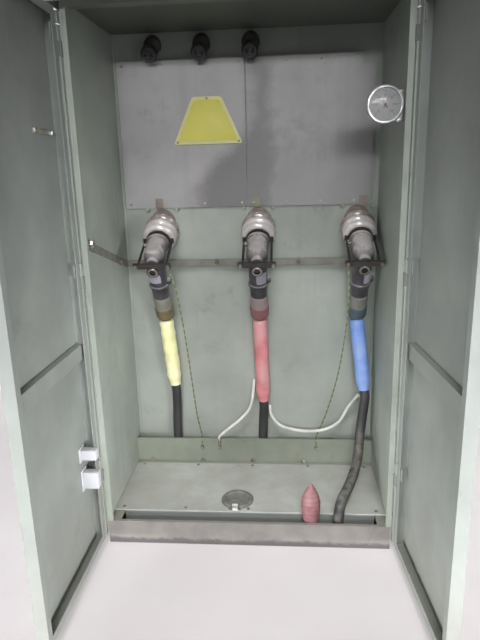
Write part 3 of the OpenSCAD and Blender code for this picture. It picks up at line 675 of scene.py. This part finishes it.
def sloping(x, z, dip):
    """Carries Z to an axis that leaves the wall and dips by degrees towards the front."""
    return shift(x, wall_y, z) @ turned(90 + dip, "X")


axes = [sloping(x, bushing_z, bushing_dip) for x in bushing_x]


def from_axis(i, along, down, side=0.0):
    """Point at a distance along a bushing's axis, down its elbow leg and to its side."""
    return axes[i] @ vec(side, -down, along)


def before_wall(mesh):
    """Cuts off what reaches into the wall."""
    bm = bmesh.new()
    bm.from_mesh(mesh)
    everything = bm.verts[:] + bm.edges[:] + bm.faces[:]
    cut = bmesh.ops.bisect_plane(bm, geom=everything, plane_co=(0, wall_y, 0), plane_no=(0, 1, 0),
                                 clear_outer=True)
    border = [e for e in cut["geom_cut"] if isinstance(e, bmesh.types.BMEdge)]
    bmesh.ops.holes_fill(bm, edges=border)
    return mesh_from(bm)


def bushing_profile():
    pitch = shed_len / shed_count
    core_r = neck_r + 0.009
    points = [(0, -turret_r), (turret_r, -turret_r), (turret_r, turret_len), (core_r, turret_len)]
    shed = ((core_r, 0.14), (shed_r - 0.004, 0.42), (shed_r, 0.52), (shed_r - 0.006, 0.60), (core_r, 0.84))
    for k in range(shed_count):
        points += [(radius, turret_len + (k + part) * pitch) for radius, part in shed]
    points += [(core_r, neck_z), (neck_r, neck_z), (neck_r, nose_z), (0.030, nose_z),
               (0.024, nose_z + nose_len), (0, nose_z + nose_len)]
    return rounded(points, 0.004)


def remeshed(source, voxel, passes):
    """A copy of a mesh with its joints blended, as a moulding has them."""
    bm = bmesh.new()
    bm.from_mesh(source)
    bmesh.ops.remove_doubles(bm, verts=bm.verts, dist=0.00002)
    obj = placed("scratch", mesh_from(bm))
    remesh = obj.modifiers.new("Remesh", "REMESH")
    remesh.mode = "VOXEL"
    remesh.voxel_size = voxel
    soften = obj.modifiers.new("Smooth", "SMOOTH")
    soften.factor = 0.5
    soften.iterations = passes
    return worked_out(obj)


for side, axis in zip(sides, axes):
    bushing = joined([(revolved(bushing_profile(), 72), axis)])
    piece(f"{side}_bushing_glazed", before_wall(bushing), "porcelain", [f"{side}_bushing"])

# Moulded elbows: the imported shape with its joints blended, an earthing eye and a capped test point
test_point = revolved([(0, 0), (0.012, 0), (0.012, 0.012), (0.009, 0.017), (0, 0.017)], 24)
eye = revolved([(0.004, -0.004), (0.010, -0.004), (0.010, 0.004), (0.004, 0.004), (0.004, -0.004)], 24)
eye_place = shift(-elbow_r - 0.005, 0.0, nose_z + 0.02) @ turned(90, "X")
for i, side in enumerate(sides):
    moulding = joined([frame["nodes"][f"{side}_elbow"].data,
                       (test_point, axes[i] @ aimed(vec(leg_r - 0.001, -0.10, bend_z), vec(1, 0, 0))),
                       (eye, axes[i] @ eye_place)])
    piece(f"{side}_elbow_moulding", remeshed(moulding, voxel=0.0024, passes=5), "elbow_rubber",
          [f"{side}_elbow"], smooth=60)

# Clamps and nuts that hold each bushing on the wall, and the nuts and rings of the bails
clamp_r = 0.068
clamp_spots = [vec(x + clamp_r * cos(a), wall_y, bushing_z + 0.006 + clamp_r * sin(a))
               for x in bushing_x for a in map(radians, (40, 140, 220, 320))]
fasteners("bushing_clamp_nuts", hex_bolt(0.013, 0.009), clamp_spots, FRONT, "wall_paint")
nut = hex_bolt(0.012, 0.006, washer=False)
nut_x = bail_reach - bail_inset
nut_places = [axis @ shift(x, 0, boss_z + bail_bar.y) for axis in axes for x in (-nut_x, nut_x)]
piece("bail_nuts", [(nut, place) for place in nut_places], "zinc_bolt")
ring = revolved([(0.0112, -0.0004), (0.0165, -0.0004), (0.0172, 0.0006), (0.0165, 0.0016), (0.0112, 0.0016),
                 (0.0112, -0.0004)], 40)
eye_centre = shift(0, -bail_bar.x / 2 - 0.016, boss_z + bail_bar.y)
piece("pulling_eye_rings", [(ring, axis @ eye_centre) for axis in axes], "zinc_bolt")

# Cables and their sleeves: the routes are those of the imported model

kink_gap = 0.008
sleeve_gap = 0.012
sleeve_ways = [vec(0.019, 0.018, -0.282), vec(0.009, 0.018, -0.347), vec(0.032, -0.036, -0.282)]
pit_y = wall_y - 0.026
cable_low = 0.004


def leg_point(i, depth):
    return from_axis(i, bend_z, leg_len - depth)


def along_sleeve(i, distance):
    return leg_point(i, -kink_gap) + sleeve_ways[i].normalized() * distance


def by_bushing(i, depth, points):
    """Points given by their place beside a bushing, behind a depth and above the ground."""
    return [vec(bushing_x[i] + x, depth + y, z) for x, y, z in points]


def cable_route(i, depth, points):
    """From inside an elbow, through its sleeve, to points beside its bushing."""
    length = sleeve_ways[i].length
    seat = [leg_point(i, inside) for inside in (0.050, 0.025, 0, -kink_gap)]
    sleeve = [along_sleeve(i, distance)
              for distance in (sleeve_gap, 0.040, length / 2, length - 0.030, length, length + 0.020)]
    return seat + sleeve + by_bushing(i, depth, points)


routes = [
    cable_route(0, pit_y, [(0.018, 0, 0.300), (0.015, 0, 0.220), (0.014, 0, 0.120), (0.014, 0, cable_low)]),
    cable_route(1, pit_y, [(0.006, 0, 0.240), (0.004, 0, 0.160), (0.004, 0, cable_low)]),
    cable_route(2, front_y, [
        (0.020, 0.352, 0.238), (0.006, 0.292, 0.170), (-0.016, 0.222, 0.142), (-0.046, 0.142, 0.128),
        (-0.072, 0.082, 0.120), (-0.083, 0.052, 0.098), (-0.089, 0.037, 0.060), (-0.090, 0.037, cable_low)]),
]

def sleeve_mesh(i):
    """Shrunk sleeve: slightly lumpy, with soft rings where it shrank over the cable."""
    length = sleeve_ways[i].length - 2 * sleeve_gap

    def radius(distance, angle):
        r = cable_r + sleeve_t
        r -= 0.0035 * max(0.0, 1 - distance / 0.008)
        r -= 0.0055 * max(0.0, min(1.0, (distance - length + 0.034) / 0.026))
        r += 0.0009 * sin(distance * 150 + i) * sin(distance * 37 + 2 * i)
        lump = noise.noise(vec(cos(angle) * 1.3, sin(angle) * 1.3, distance * 26 + 9 * i))
        return r + 0.0011 * lump - 0.0008

    return swept(row(along_sleeve(i, sleeve_gap), along_sleeve(i, sleeve_gap + length), 91), radius, 40)


for side, route in zip(sides, routes):
    piece(f"{side}_cable_jacket", swept(smooth_route(route), cable_r, 28), "cable_jacket", [f"{side}_cable"],
          smooth=60)
for i, colour in enumerate(("yellow", "red", "blue")):
    piece(f"{colour}_shrink_sleeve", sleeve_mesh(i), f"{colour}_plastic", [f"{colour}_sleeve"], smooth=60)

# Leads and wires with their crimped ends

lug_x = [bushing_x[1] - 0.164, bushing_x[2] - 0.138, bushing_x[0] + 0.114]
lug_plate = vec(0.022, 0.004, 0.030)
lug_z = floor_z + 0.095 * 0.72


def on_lug(x, up):
    return vec(x, rail_y - lug_plate.y - 0.003, lug_z + lug_plate.z / 2 + up)


lead_gap = cable_r + lead_r + fit
lead_a = [along_sleeve(1, 0.248) - vec(lead_gap + sleeve_t, 0, 0),
          along_sleeve(1, 0.272) - vec(lead_gap + sleeve_t + 0.002, 0.002, 0)]
lead_a += by_bushing(1, rail_y, [(-0.040, -0.014, 0.318), (-0.080, -0.020, 0.268), (-0.122, -0.016, 0.230)])
lead_a += [on_lug(lug_x[0] + 0.001, 0.022), on_lug(lug_x[0], -0.008)]
lead_b = [along_sleeve(1, sleeve_ways[1].length + 0.008) + vec(lead_gap, 0, 0)]
lead_b += by_bushing(1, rail_y, [
    (0.038, -0.002, 0.280), (0.066, -0.014, 0.246), (0.112, -0.020, 0.230), (0.176, -0.026, 0.224),
    (0.240, -0.024, 0.232), (0.292, -0.012, 0.258), (0.326, 0.002, 0.312)])
lead_b += [along_sleeve(2, sleeve_ways[2].length + 0.009) - vec(lead_gap, 0, 0)]
piece("earth_lead_insulation", [swept(smooth_route(lead), lead_r, 18) for lead in (lead_a, lead_b)],
      "white_lead", ["earth_leads"], smooth=60)


def bonding_wire(i, side, lug, points):
    """From an end of a bail to a lug on the rail."""
    route = [from_axis(i, boss_z + bail_bar.y / 2, bail_bar.x / 2 + wire_r - 0.001, side * nut_x)]
    route += by_bushing(i, front_y, points)
    route += [on_lug(lug_x[lug], up) for up in (0.030, 0.006, -0.008)]
    return swept(smooth_route(route), wire_r, 14)


right_wire = bonding_wire(2, -1, 1, [
    (-0.046, 0.238, 0.800), (-0.050, 0.268, 0.660), (-0.068, 0.316, 0.480), (-0.104, 0.370, 0.300)])
left_wire = bonding_wire(0, 1, 2, [
    (0.074, 0.238, 0.800), (0.088, 0.268, 0.660), (0.096, 0.316, 0.480), (0.106, 0.352, 0.300)])
piece("bonding_wire_insulation", [right_wire, left_wire], "bonding_wire", ["bonding_wires"], smooth=60)


def rail_lug(x):
    """Flat lug with a round end where its bolt sits."""
    half, end = lug_plate.x / 2, lug_plate.z / 2
    arc = [(x + half * cos(a), lug_z - end + half + half * sin(a))
           for a in [pi + pi * k / 10 for k in range(11)]]
    return plate(arc + [(x + half * 0.7, lug_z + end), (x - half * 0.7, lug_z + end)], 0.004, y=rail_y)


piece("rail_lugs", [rail_lug(x) for x in lug_x], "zinc_bolt")
crimp = [(0, -0.004), (0.0066, -0.004), (0.0066, 0.020), (0.0056, 0.022), (0, 0.022)]
piece("lead_crimps", [(revolved(rounded(crimp, 0.001), 24), shift(*on_lug(lug_x[0], -0.004)))], "zinc_bolt")
small_bolt = hex_bolt(0.013, 0.008)
lug_bolts = [vec(x, rail_y - lug_plate.y, lug_z - 0.006) for x in lug_x]
fasteners("rail_lug_bolts", small_bolt, lug_bolts, FRONT)

# Tape wound round the foot of each elbow, and the pale tag stuck on its front

def leg_radius(down):
    f = down / leg_len
    return (elbow_r - 0.003) * (1 - f) + leg_r * f


def tape_mesh(i, first, last, extra, pitch):
    """Tape wound in overlapping turns over a stretch of an elbow leg."""
    start, end = from_axis(i, bend_z, first), from_axis(i, bend_z, last)
    length = (end - start).length

    def radius(distance, angle):
        turn = (distance / pitch + angle / (2 * pi)) % 1.0
        ends = max(0.0, 1 - min(distance, length - distance) / 0.004)
        lump = noise.noise(vec(cos(angle), sin(angle), distance * 30 + 7 * i))
        return leg_radius(first + distance) + extra + 0.0006 * turn + 0.0007 * lump - 0.0012 * ends

    return swept(row(start, end, 61), radius, 48)


def wrapped_tag(i, first_turn, last_turn, first, last):
    """Thin tag bent round the front of an elbow leg, between two turns in degrees and two heights."""
    bm = bmesh.new()
    across, down = 20, 14
    borders = []
    for lift in (0.0012, 0.0030):
        def corner(column, line):
            u, v = 2 * column / across - 1, 2 * line / down - 1
            pull = 1 - 0.10 * max(0.0, abs(u) + abs(v) - 1.45)
            turn = radians((first_turn + last_turn) / 2 + u * pull * (last_turn - first_turn) / 2)
            height = (first + last) / 2 + v * pull * (last - first) / 2
            r = leg_radius(height) + lift
            return bm.verts.new(from_axis(i, bend_z + r * cos(turn), height, r * sin(turn)))

        grid = [[corner(column, line) for column in range(across + 1)] for line in range(down + 1)]
        for upper, lower in zip(grid, grid[1:]):
            for k in range(across):
                bm.faces.new((upper[k], upper[k + 1], lower[k + 1], lower[k]))
        borders.append(grid[0] + [line[-1] for line in grid[1:]] + grid[-1][-2::-1]
                       + [line[0] for line in grid[-2:0:-1]])
    bridge(bm, borders)
    return closed_mesh(bm)


tag_places = [(-58, 28, 0.054, 0.088), (-8, 56, 0.052, 0.098), (10, 72, 0.052, 0.100)]
for i, side in enumerate(sides):
    piece(f"{side}_sealing_tape", tape_mesh(i, 0.166, 0.222, 0.0016, 0.014), f"tape_{side}", smooth=50)
    # The end tape's colour is painted shade: a darker copy of the sleeve colour below it.
    piece(f"{side}_end_tape", tape_mesh(i, 0.219, 0.2625, 0.0044, 0.010), f"end_tape_{side}", smooth=50)
    piece(f"{side}_front_tag", wrapped_tag(i, *tag_places[i]), "tag_grey", smooth=60)

# Dial gauge: face, scale, numbers, two hands and a dusty glass

gauge_x = half_w - 0.066
gauge_z = middle("dial_gauge").z
dial_y = front_y + 0.011
dial_r = 0.0406
scale_turn = 270
scale_steps = 24
upright = turned(90, "X")


def on_dial(turn, out):
    """Frame on the dial whose Z points outwards at a clock angle in degrees, a distance in front of it."""
    return shift(gauge_x, dial_y - out, gauge_z) @ turned(turn, "Y")


def number_mesh(value):
    curve = bpy.data.curves.new("number", "FONT")
    curve.body = str(value)
    curve.size, curve.extrude = 0.0082, 0.0001
    curve.align_x = curve.align_y = "CENTER"
    return worked_out(placed("number", curve))


dial = revolved([(0, 0), (dial_r - 0.0004, 0), (dial_r, 0.0004), (dial_r - 0.0004, 0.0008), (0, 0.0008)], 72)
piece("gauge_dial", [(dial, aimed(vec(gauge_x, dial_y, gauge_z), FRONT))], "dial_face")
ticks, numbers = [], []
for k in range(scale_steps + 1):
    turn = -scale_turn / 2 + scale_turn * k / scale_steps
    is_long = k % 4 == 0
    half, low = (0.0006, 0.0300) if is_long else (0.0003, 0.0330)
    ticks.append((slab((-half, -0.0002, low), (half, 0.0002, 0.0365), 0.0001), on_dial(turn, 0.0009)))
    if is_long:
        place = on_dial(turn, 0.0009) @ shift(0, 0, 0.0235)
        numbers.append((number_mesh(5 * k), place @ turned(-turn, "Y") @ upright))
piece("gauge_scale", ticks, "dial_black")
piece("gauge_numbers", numbers, "dial_black")
hand = plate([(-0.0017, -0.010), (0.0017, -0.010), (0.0004, 0.031), (-0.0004, 0.031)], 0.0005, 0.0001)
hub = revolved([(0.0036, 0), (0.0036, 0.0008), (0.0028, 0.0016), (0, 0.0018)], 24)
piece("gauge_hand", [(hand, on_dial(-38, 0.0012)), (hub, on_dial(0, 0.0012) @ upright)], "dial_black")
piece("gauge_peak_hand", [(hand, on_dial(22, 0.0019))], "dial_red")
glass = revolved([(0, 0.0036), (0.020, 0.0032), (0.034, 0.0019), (dial_r, 0.0006), (dial_r, 0.0),
                  (0.034, 0.0013), (0.020, 0.0026), (0, 0.0030)], 72)
glass_place = aimed(vec(gauge_x, dial_y - 0.0026, gauge_z), FRONT)
piece("gauge_glass", [(glass, glass_place)], "dusty_glass", smooth=60)

# Yellow plate on spacers in front of the left grey sheet

plate_off = 0.006
plate_x = -0.134
plate_low, plate_high = 1.272, 1.426
plate_half_low, plate_half_high = 0.120, 0.050


def trapezoid(inset, inset_side):
    low, high = plate_half_low - inset_side, plate_half_high - inset_side
    slope = (plate_half_low - plate_half_high) / (plate_high - plate_low) * inset
    corners = [(-low + slope, plate_low + inset), (low - slope, plate_low + inset),
               (high + slope, plate_high - inset), (-high - slope, plate_high - inset)]
    return [(plate_x + x, z) for x, z in corners]


plate_back = sheet_front - plate_off
rim_outline = soft_outline(trapezoid(0, 0), 0.010)
face_outline = soft_outline(trapezoid(0.0115, 0.0125), 0.006)
piece("yellow_plate_rim", plate(rim_outline, 0.0015, 0.0006, plate_back, rim=0.009), "plate_pale")
piece("yellow_plate_face", plate(face_outline, 0.0007, 0.0002, plate_back - 0.0009), "plate_yellow")
plate_holes = [(plate_x - 0.106, plate_low + 0.0075), (plate_x + 0.106, plate_low + 0.0075),
               (plate_x, plate_high - 0.006)]
spacer = revolved([(0.004, -0.0002), (0.004, plate_off + 0.0002), (0, plate_off + 0.0002)], 20)
piece("plate_spacers", [(spacer, aimed(vec(x, sheet_front, z), FRONT)) for x, z in plate_holes], "zinc_bolt")
fasteners("plate_rivets", dome_screw(0.0042, 0.0018),
          [vec(x, plate_back - 0.0014, z) for x, z in plate_holes], FRONT)

# Screws of the grey sheets, and small marks at their lower edge, over the bushings

sheet_low, sheet_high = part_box("upper_panels")
sheet_screws = [place for low_x, high_x in ((sheet_low.x + 0.02, -0.022), (0.018, sheet_high.x - 0.06))
                for z in (sheet_low.z + 0.014, sheet_high.z - 0.014)
                for place in row((low_x, sheet_front, z), (high_x, sheet_front, z), 4)]
fasteners("sheet_screws", dome_screw(0.0045, 0.0022), sheet_screws, FRONT)
mark_places = [(-0.318, 1.074, "mark_brown"), (0.030, 1.072, "mark_olive"), (0.398, 1.070, "mark_brown")]
for side, (x, z, slot) in zip(sides, mark_places):
    corners = [(x - 0.014, z - 0.018), (x + 0.014, z - 0.018),
               (x + 0.014, z + 0.018), (x - 0.014, z + 0.018)]
    piece(f"{side}_phase_mark", plate(soft_outline(corners, 0.005), 0.0016, y=sheet_front), slot)

# Fuse holders: ribbed moulding with a knurled cap and a pull ring

fuse_r = 0.027
fuse_len = 0.084
fuse_pitch = 0.165
fuse_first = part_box("fuse_holders")[0].x + fuse_r + 0.003


def fuse_mesh():
    points = [(0, -fuse_r), (fuse_r + 0.003, -fuse_r), (fuse_r + 0.003, 0.007), (fuse_r - 0.002, 0.010)]
    rib = ((0.006, 0), (0.006, 0.003), (0.001, 0.005), (0.001, 0.008), (0.006, 0.010))
    for k in range(4):
        points += [(fuse_r - inset, 0.012 + k * 0.012 + z) for inset, z in rib]
    points += [(fuse_r - 0.006, 0.061), (fuse_r, 0.063), (fuse_r, fuse_len - 0.006),
               (fuse_r - 0.006, fuse_len), (fuse_r - 0.012, fuse_len), (fuse_r - 0.013, fuse_len - 0.003),
               (0, fuse_len - 0.003)]
    mesh = revolved(rounded(points, 0.0012, 2), 72)
    for vert in mesh.vertices:
        if vert.co.z > 0.064 and vert.co.xy.length > fuse_r - 0.0005:
            vert.co.xy *= 1 - 0.03 * (cos(24 * atan2(vert.co.y, vert.co.x)) > 0)
    return mesh


fuse_parts, ring_parts = [], []
loop = [vec(0.011 * cos(a), 0, 0.011 * sin(a)) for a in [2 * pi * k / 28 for k in range(30)]]
pull = swept(loop, 0.0016, 10)
for k in range(3):
    place = sloping(fuse_first + k * fuse_pitch, roof_z - 0.040, 30)
    fuse_parts.append(before_wall(joined([(fuse_mesh(), place)])))
    ring_parts.append((pull, place @ shift(0, 0, fuse_len + 0.006)))
piece("ribbed_fuse_holders", fuse_parts, "fuse_plastic", ["fuse_holders"], smooth=40)
piece("fuse_pull_rings", ring_parts, "bail_steel", smooth=60)

# Spare cable tail under its shrink cap

tail_low, tail_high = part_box("spare_tail")
tail_at = middle("spare_tail")
tail_r = (tail_high.x - tail_low.x) / 2
tail_height = tail_high.z - tail_low.z + 0.008
tail_widest = 0.132
cap_start = 0.036


def tail_radius(distance, angle):
    """Cable below, then a wrinkled cap shaped like a spindle, with a blunt tip."""
    side_len = tail_widest - cap_start if distance < tail_widest else tail_height - tail_widest
    f = min(1.0, abs(distance - tail_widest) / side_len)
    r = tail_r - 0.0065 + 0.0145 * (1 - f ** 1.8)
    wrinkle = noise.noise(vec(2.2 * cos(angle), 2.2 * sin(angle), distance * 60))
    r += (0.0013 * wrinkle + 0.0006 * sin(distance * 420)) * (distance > 0.042)
    if distance > tail_widest:
        r *= max(0.0, 1 - f ** 2.2) ** 0.62
    return max(0.0006, r)


tail_line = [vec(tail_at.x, tail_at.y, tail_low.z + tail_height * sin(pi / 2 * k / 110)) for k in range(111)]
piece("capped_spare_tail", swept(tail_line, tail_radius, 48), "faded_red_plastic", ["spare_tail"], smooth=50)

# Angle strips that close the slit beside each door, with a tray where a hinge sits

barrel_h = 0.038
hinge_heights = (0.270, 0.8935, 1.517)
strips = []
for side in (-1, 1):
    inner, outer = side * (half_w + 0.0002), side * (half_w + 0.0195)
    start = leaf_low.z + 0.004
    for height in hinge_heights + (None,):
        end = leaf_high.z - 0.004 if height is None else height - barrel_h - 0.001
        for x, y in ((inner + side * 0.0015, front_y), (outer, front_y - 0.0135)):
            strips.append(slab((inner, front_y - 0.0150, start), (x, y, end), 0.0003))
        if height is not None:
            start = height + barrel_h + 0.002
            strips.append(slab((inner, front_y, end), (outer, front_y + 0.003, start), 0.0003))
piece("weather_strips", strips, "shell_paint")

# Nuts and bolts of the earth bar, its strap, the floor and the rail

bar_low, bar_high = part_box("earth_bar")
bar_front = rail_y + 0.033
bar_nuts = [vec(k * (inner_x - 0.032), bar_front, bar_low.z + 0.0125) for k in (-0.9, -0.28, 0.42, 0.9)]
fasteners("earth_bar_nuts", hex_bolt(0.017, 0.010), bar_nuts, FRONT, "rusty_bolt")
strap_x = -inner_x + 0.005
strap_end = vec(strap_x, front_y + 0.032, bar_high.z - 0.0135)
fasteners("strap_bolt", hex_bolt(0.021, 0.014), [strap_end], (1, 0, 0))
strap_foot = vec(strap_x, -0.337, 0.881)
fasteners("strap_foot_bolt", hex_bolt(0.015, 0.009), [strap_foot], (1, 0, 0), "rusty_bolt")
fasteners("floor_front_bolt", hex_bolt(0.032, 0.018), [vec(-0.044, -0.590, floor_z)], UP, "bright_ring")
floor_screws = []
for y in (floor_low.y + 0.016, floor_high.y - 0.030):
    floor_screws += row((-inner_x + 0.03, y, floor_z), (inner_x - 0.03, y, floor_z), 5)
fasteners("floor_screws", dome_screw(0.0060, 0.0028), floor_screws, UP)
rail_end = vec(inner_x - 0.06, rail_y - 0.009, floor_z + 0.003)
rail_start = vec(-rail_end.x, rail_end.y, rail_end.z)
fasteners("rail_foot_bolts", small_bolt, row(rail_start, rail_end, 5), UP)

# Buffers and the catch of the stay on the left door, and the screws of the handles

skin_x = -half_w - 0.0345
buffers = []
for low, high in ((0.253, 0.308), (0.348, 0.381)):
    buffers += [slab((skin_x + 0.0002, -0.776, low - 0.006), (skin_x + 0.0035, -0.734, high + 0.006), 0.001),
                slab((skin_x + 0.003, -0.769, low), (skin_x + 0.050, -0.741, high), 0.004)]
piece("left_door_buffers", buffers, "plate_white", body="left_leaf")
catch = [slab((skin_x + 0.0002, -0.846, 1.278), (skin_x + 0.0026, -0.712, 1.292), 0.0006)]
catch += [slab((skin_x + 0.0022, y - 0.009, 1.279), (skin_x + 0.0075, y + 0.009, 1.291), 0.0015)
          for y in (-0.832, -0.726)]
piece("left_door_stay_catch", catch, "bright_ring", body="left_leaf")

hinge_axis = vec(half_w + 0.009, front_y - 0.010, 0)
open_turn = radians(94)
along_leaf = vec(-cos(open_turn), -sin(open_turn), 0)
out_of_leaf = vec(sin(open_turn), -cos(open_turn), 0)
handle_out, handle_off = 0.415, 0.042
handle_z = (leaf_low.z + leaf_high.z) / 2 + 0.046
right_handle = hinge_axis + along_leaf * handle_out + out_of_leaf * handle_off
rear_handle = vec(hinge_axis.x - handle_out, handle_off - hinge_axis.y, 0)
for name, place, direction, body in (
        ("right_handle_screws", right_handle, out_of_leaf, "right_leaf"),
        ("rear_handle_screws", rear_handle, (0, 1, 0), "cabinet")):
    fasteners(name, dome_screw(0.0055, 0.0024), [place + vec(0, 0, handle_z + z) for z in (-0.082, 0.078)],
              direction, body=body)

# Bolts of the tank cover and its hatch, and the screws of the roofs

def places_round(low, high, z, inset, start, count):
    """Places along the four edges of a level rectangle, with pairs of values for X and Y."""
    places = []
    for x in (low.x + inset[0], high.x - inset[0]):
        places += row((x, low.y + start[1], z), (x, high.y - start[1], z), count[1])
    for y in (low.y + inset[1], high.y - inset[1]):
        places += row((low.x + start[0], y, z), (high.x - start[0], y, z), count[0])
    return places


cover_low, cover_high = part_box("tank_cover")
cover_bolts = places_round(cover_low, cover_high, roof_z, (0.011, 0.016), (0.07, 0.04), (9, 8))
fasteners("tank_cover_bolts", hex_bolt(0.018, 0.011), cover_bolts, UP, "rusty_bolt")
cover_mid = vec(0, (cover_low.y + cover_high.y) / 2, 0)
hatch_half = vec(0.180, 0.120, 0)
hatch_low, hatch_high = cover_mid - hatch_half, cover_mid + hatch_half
hatch_bolts = places_round(hatch_low, hatch_high, roof_z + 0.008, (0.014, 0.014), (0.084, 0.014), (3, 4))
fasteners("hatch_bolts", small_bolt, hatch_bolts, UP, "rusty_bolt")
skirt_z = 1.612
for side, word in ((-1, "left"), (1, "right")):
    skirt_x = side * (half_w + 0.017)
    places = []
    for first, last, count in ((front_y + 0.02, wall_y - 0.03, 4), (0.40, 0.65, 3)):
        places += row((skirt_x, first, skirt_z), (skirt_x, last, skirt_z), count)
    fasteners(f"{word}_roof_screws", dome_screw(0.0050, 0.0024), places, (side, 0, 0))

# Camera, light and floor

camera = placed("camera", bpy.data.cameras.new("camera"))
camera.data.lens = 31.2
camera_turn = turned(4.59, "Z") @ turned(90 - 14.61, "X") @ turned(-1.47, "Z")
camera.matrix_world = shift(0.120, -2.232, 1.165) @ camera_turn
scene.camera = camera
scene.view_settings.view_transform = "Standard"


def area_light(side, place, target, size, power, spread=180):
    """Soft box that shines from a place to a target, with its spread in degrees."""
    data = bpy.data.lights.new(f"{side}_softbox", "AREA")
    data.shape = "RECTANGLE"
    data.size, data.size_y = size
    data.energy = power
    data.spread = radians(spread)
    light = placed(data.name, data)
    light.matrix_world = aimed(place, Vector(target) - Vector(place), ahead="-Z")


area_light("high", (0.0, -3.3, 3.5), (0, -0.6, 0.08), (1.8, 0.8), 6.5, 36)
area_light("low_left", (-2.2, -2.95, 0.25), (0.45, -0.6, 0.26), (1.8, 0.5), 7.6, 40)
area_light("low_right", (2.2, -2.95, 0.25), (-0.45, -0.6, 0.40), (1.8, 0.5), 9.4, 40)
area_light("front", (0.3, -6.4, 2.32), (0, -0.3, 0.80), (4.2, 0.35), 12.5, 40)
area_light("left", (-3.4, 1.0, 1.6), (-0.3, 0.1, 0.7), (2.0, 1.4), 52)
area_light("right", (3.4, 1.0, 1.6), (0.3, 0.1, 0.7), (2.0, 1.4), 52)
area_light("rear", (0.0, 4.0, 2.6), (0, 0.4, 0.7), (2.5, 2.0), 70)
area_light("top", (0.0, 0.15, 4.2), (0, 0.15, 0), (0.7, 1.2), 2.6, 26)

scene.world = bpy.data.worlds.new("studio")
sky = Nodes(scene.world)
soft_light = sky.tree.nodes["Background"]
sky.feed(soft_light.inputs["Color"], (0.93, 0.96, 1.0, 1))
sky.feed(soft_light.inputs["Strength"], 0.09)
backdrop = sky.add("Background", {"Color": BACKDROP})
both = sky.add("MixShader", {0: sky.seen_directly(), 1: soft_light.outputs[0], 2: backdrop.outputs[0]})
sky.feed(sky.tree.nodes["World Output"].inputs["Surface"], both.outputs[0])

floor_bm = bmesh.new()
bmesh.ops.create_grid(floor_bm, x_segments=1, y_segments=1, size=30)
floor = placed("stage_floor", mesh_from(floor_bm))
floor.data.materials.append(pale_floor())
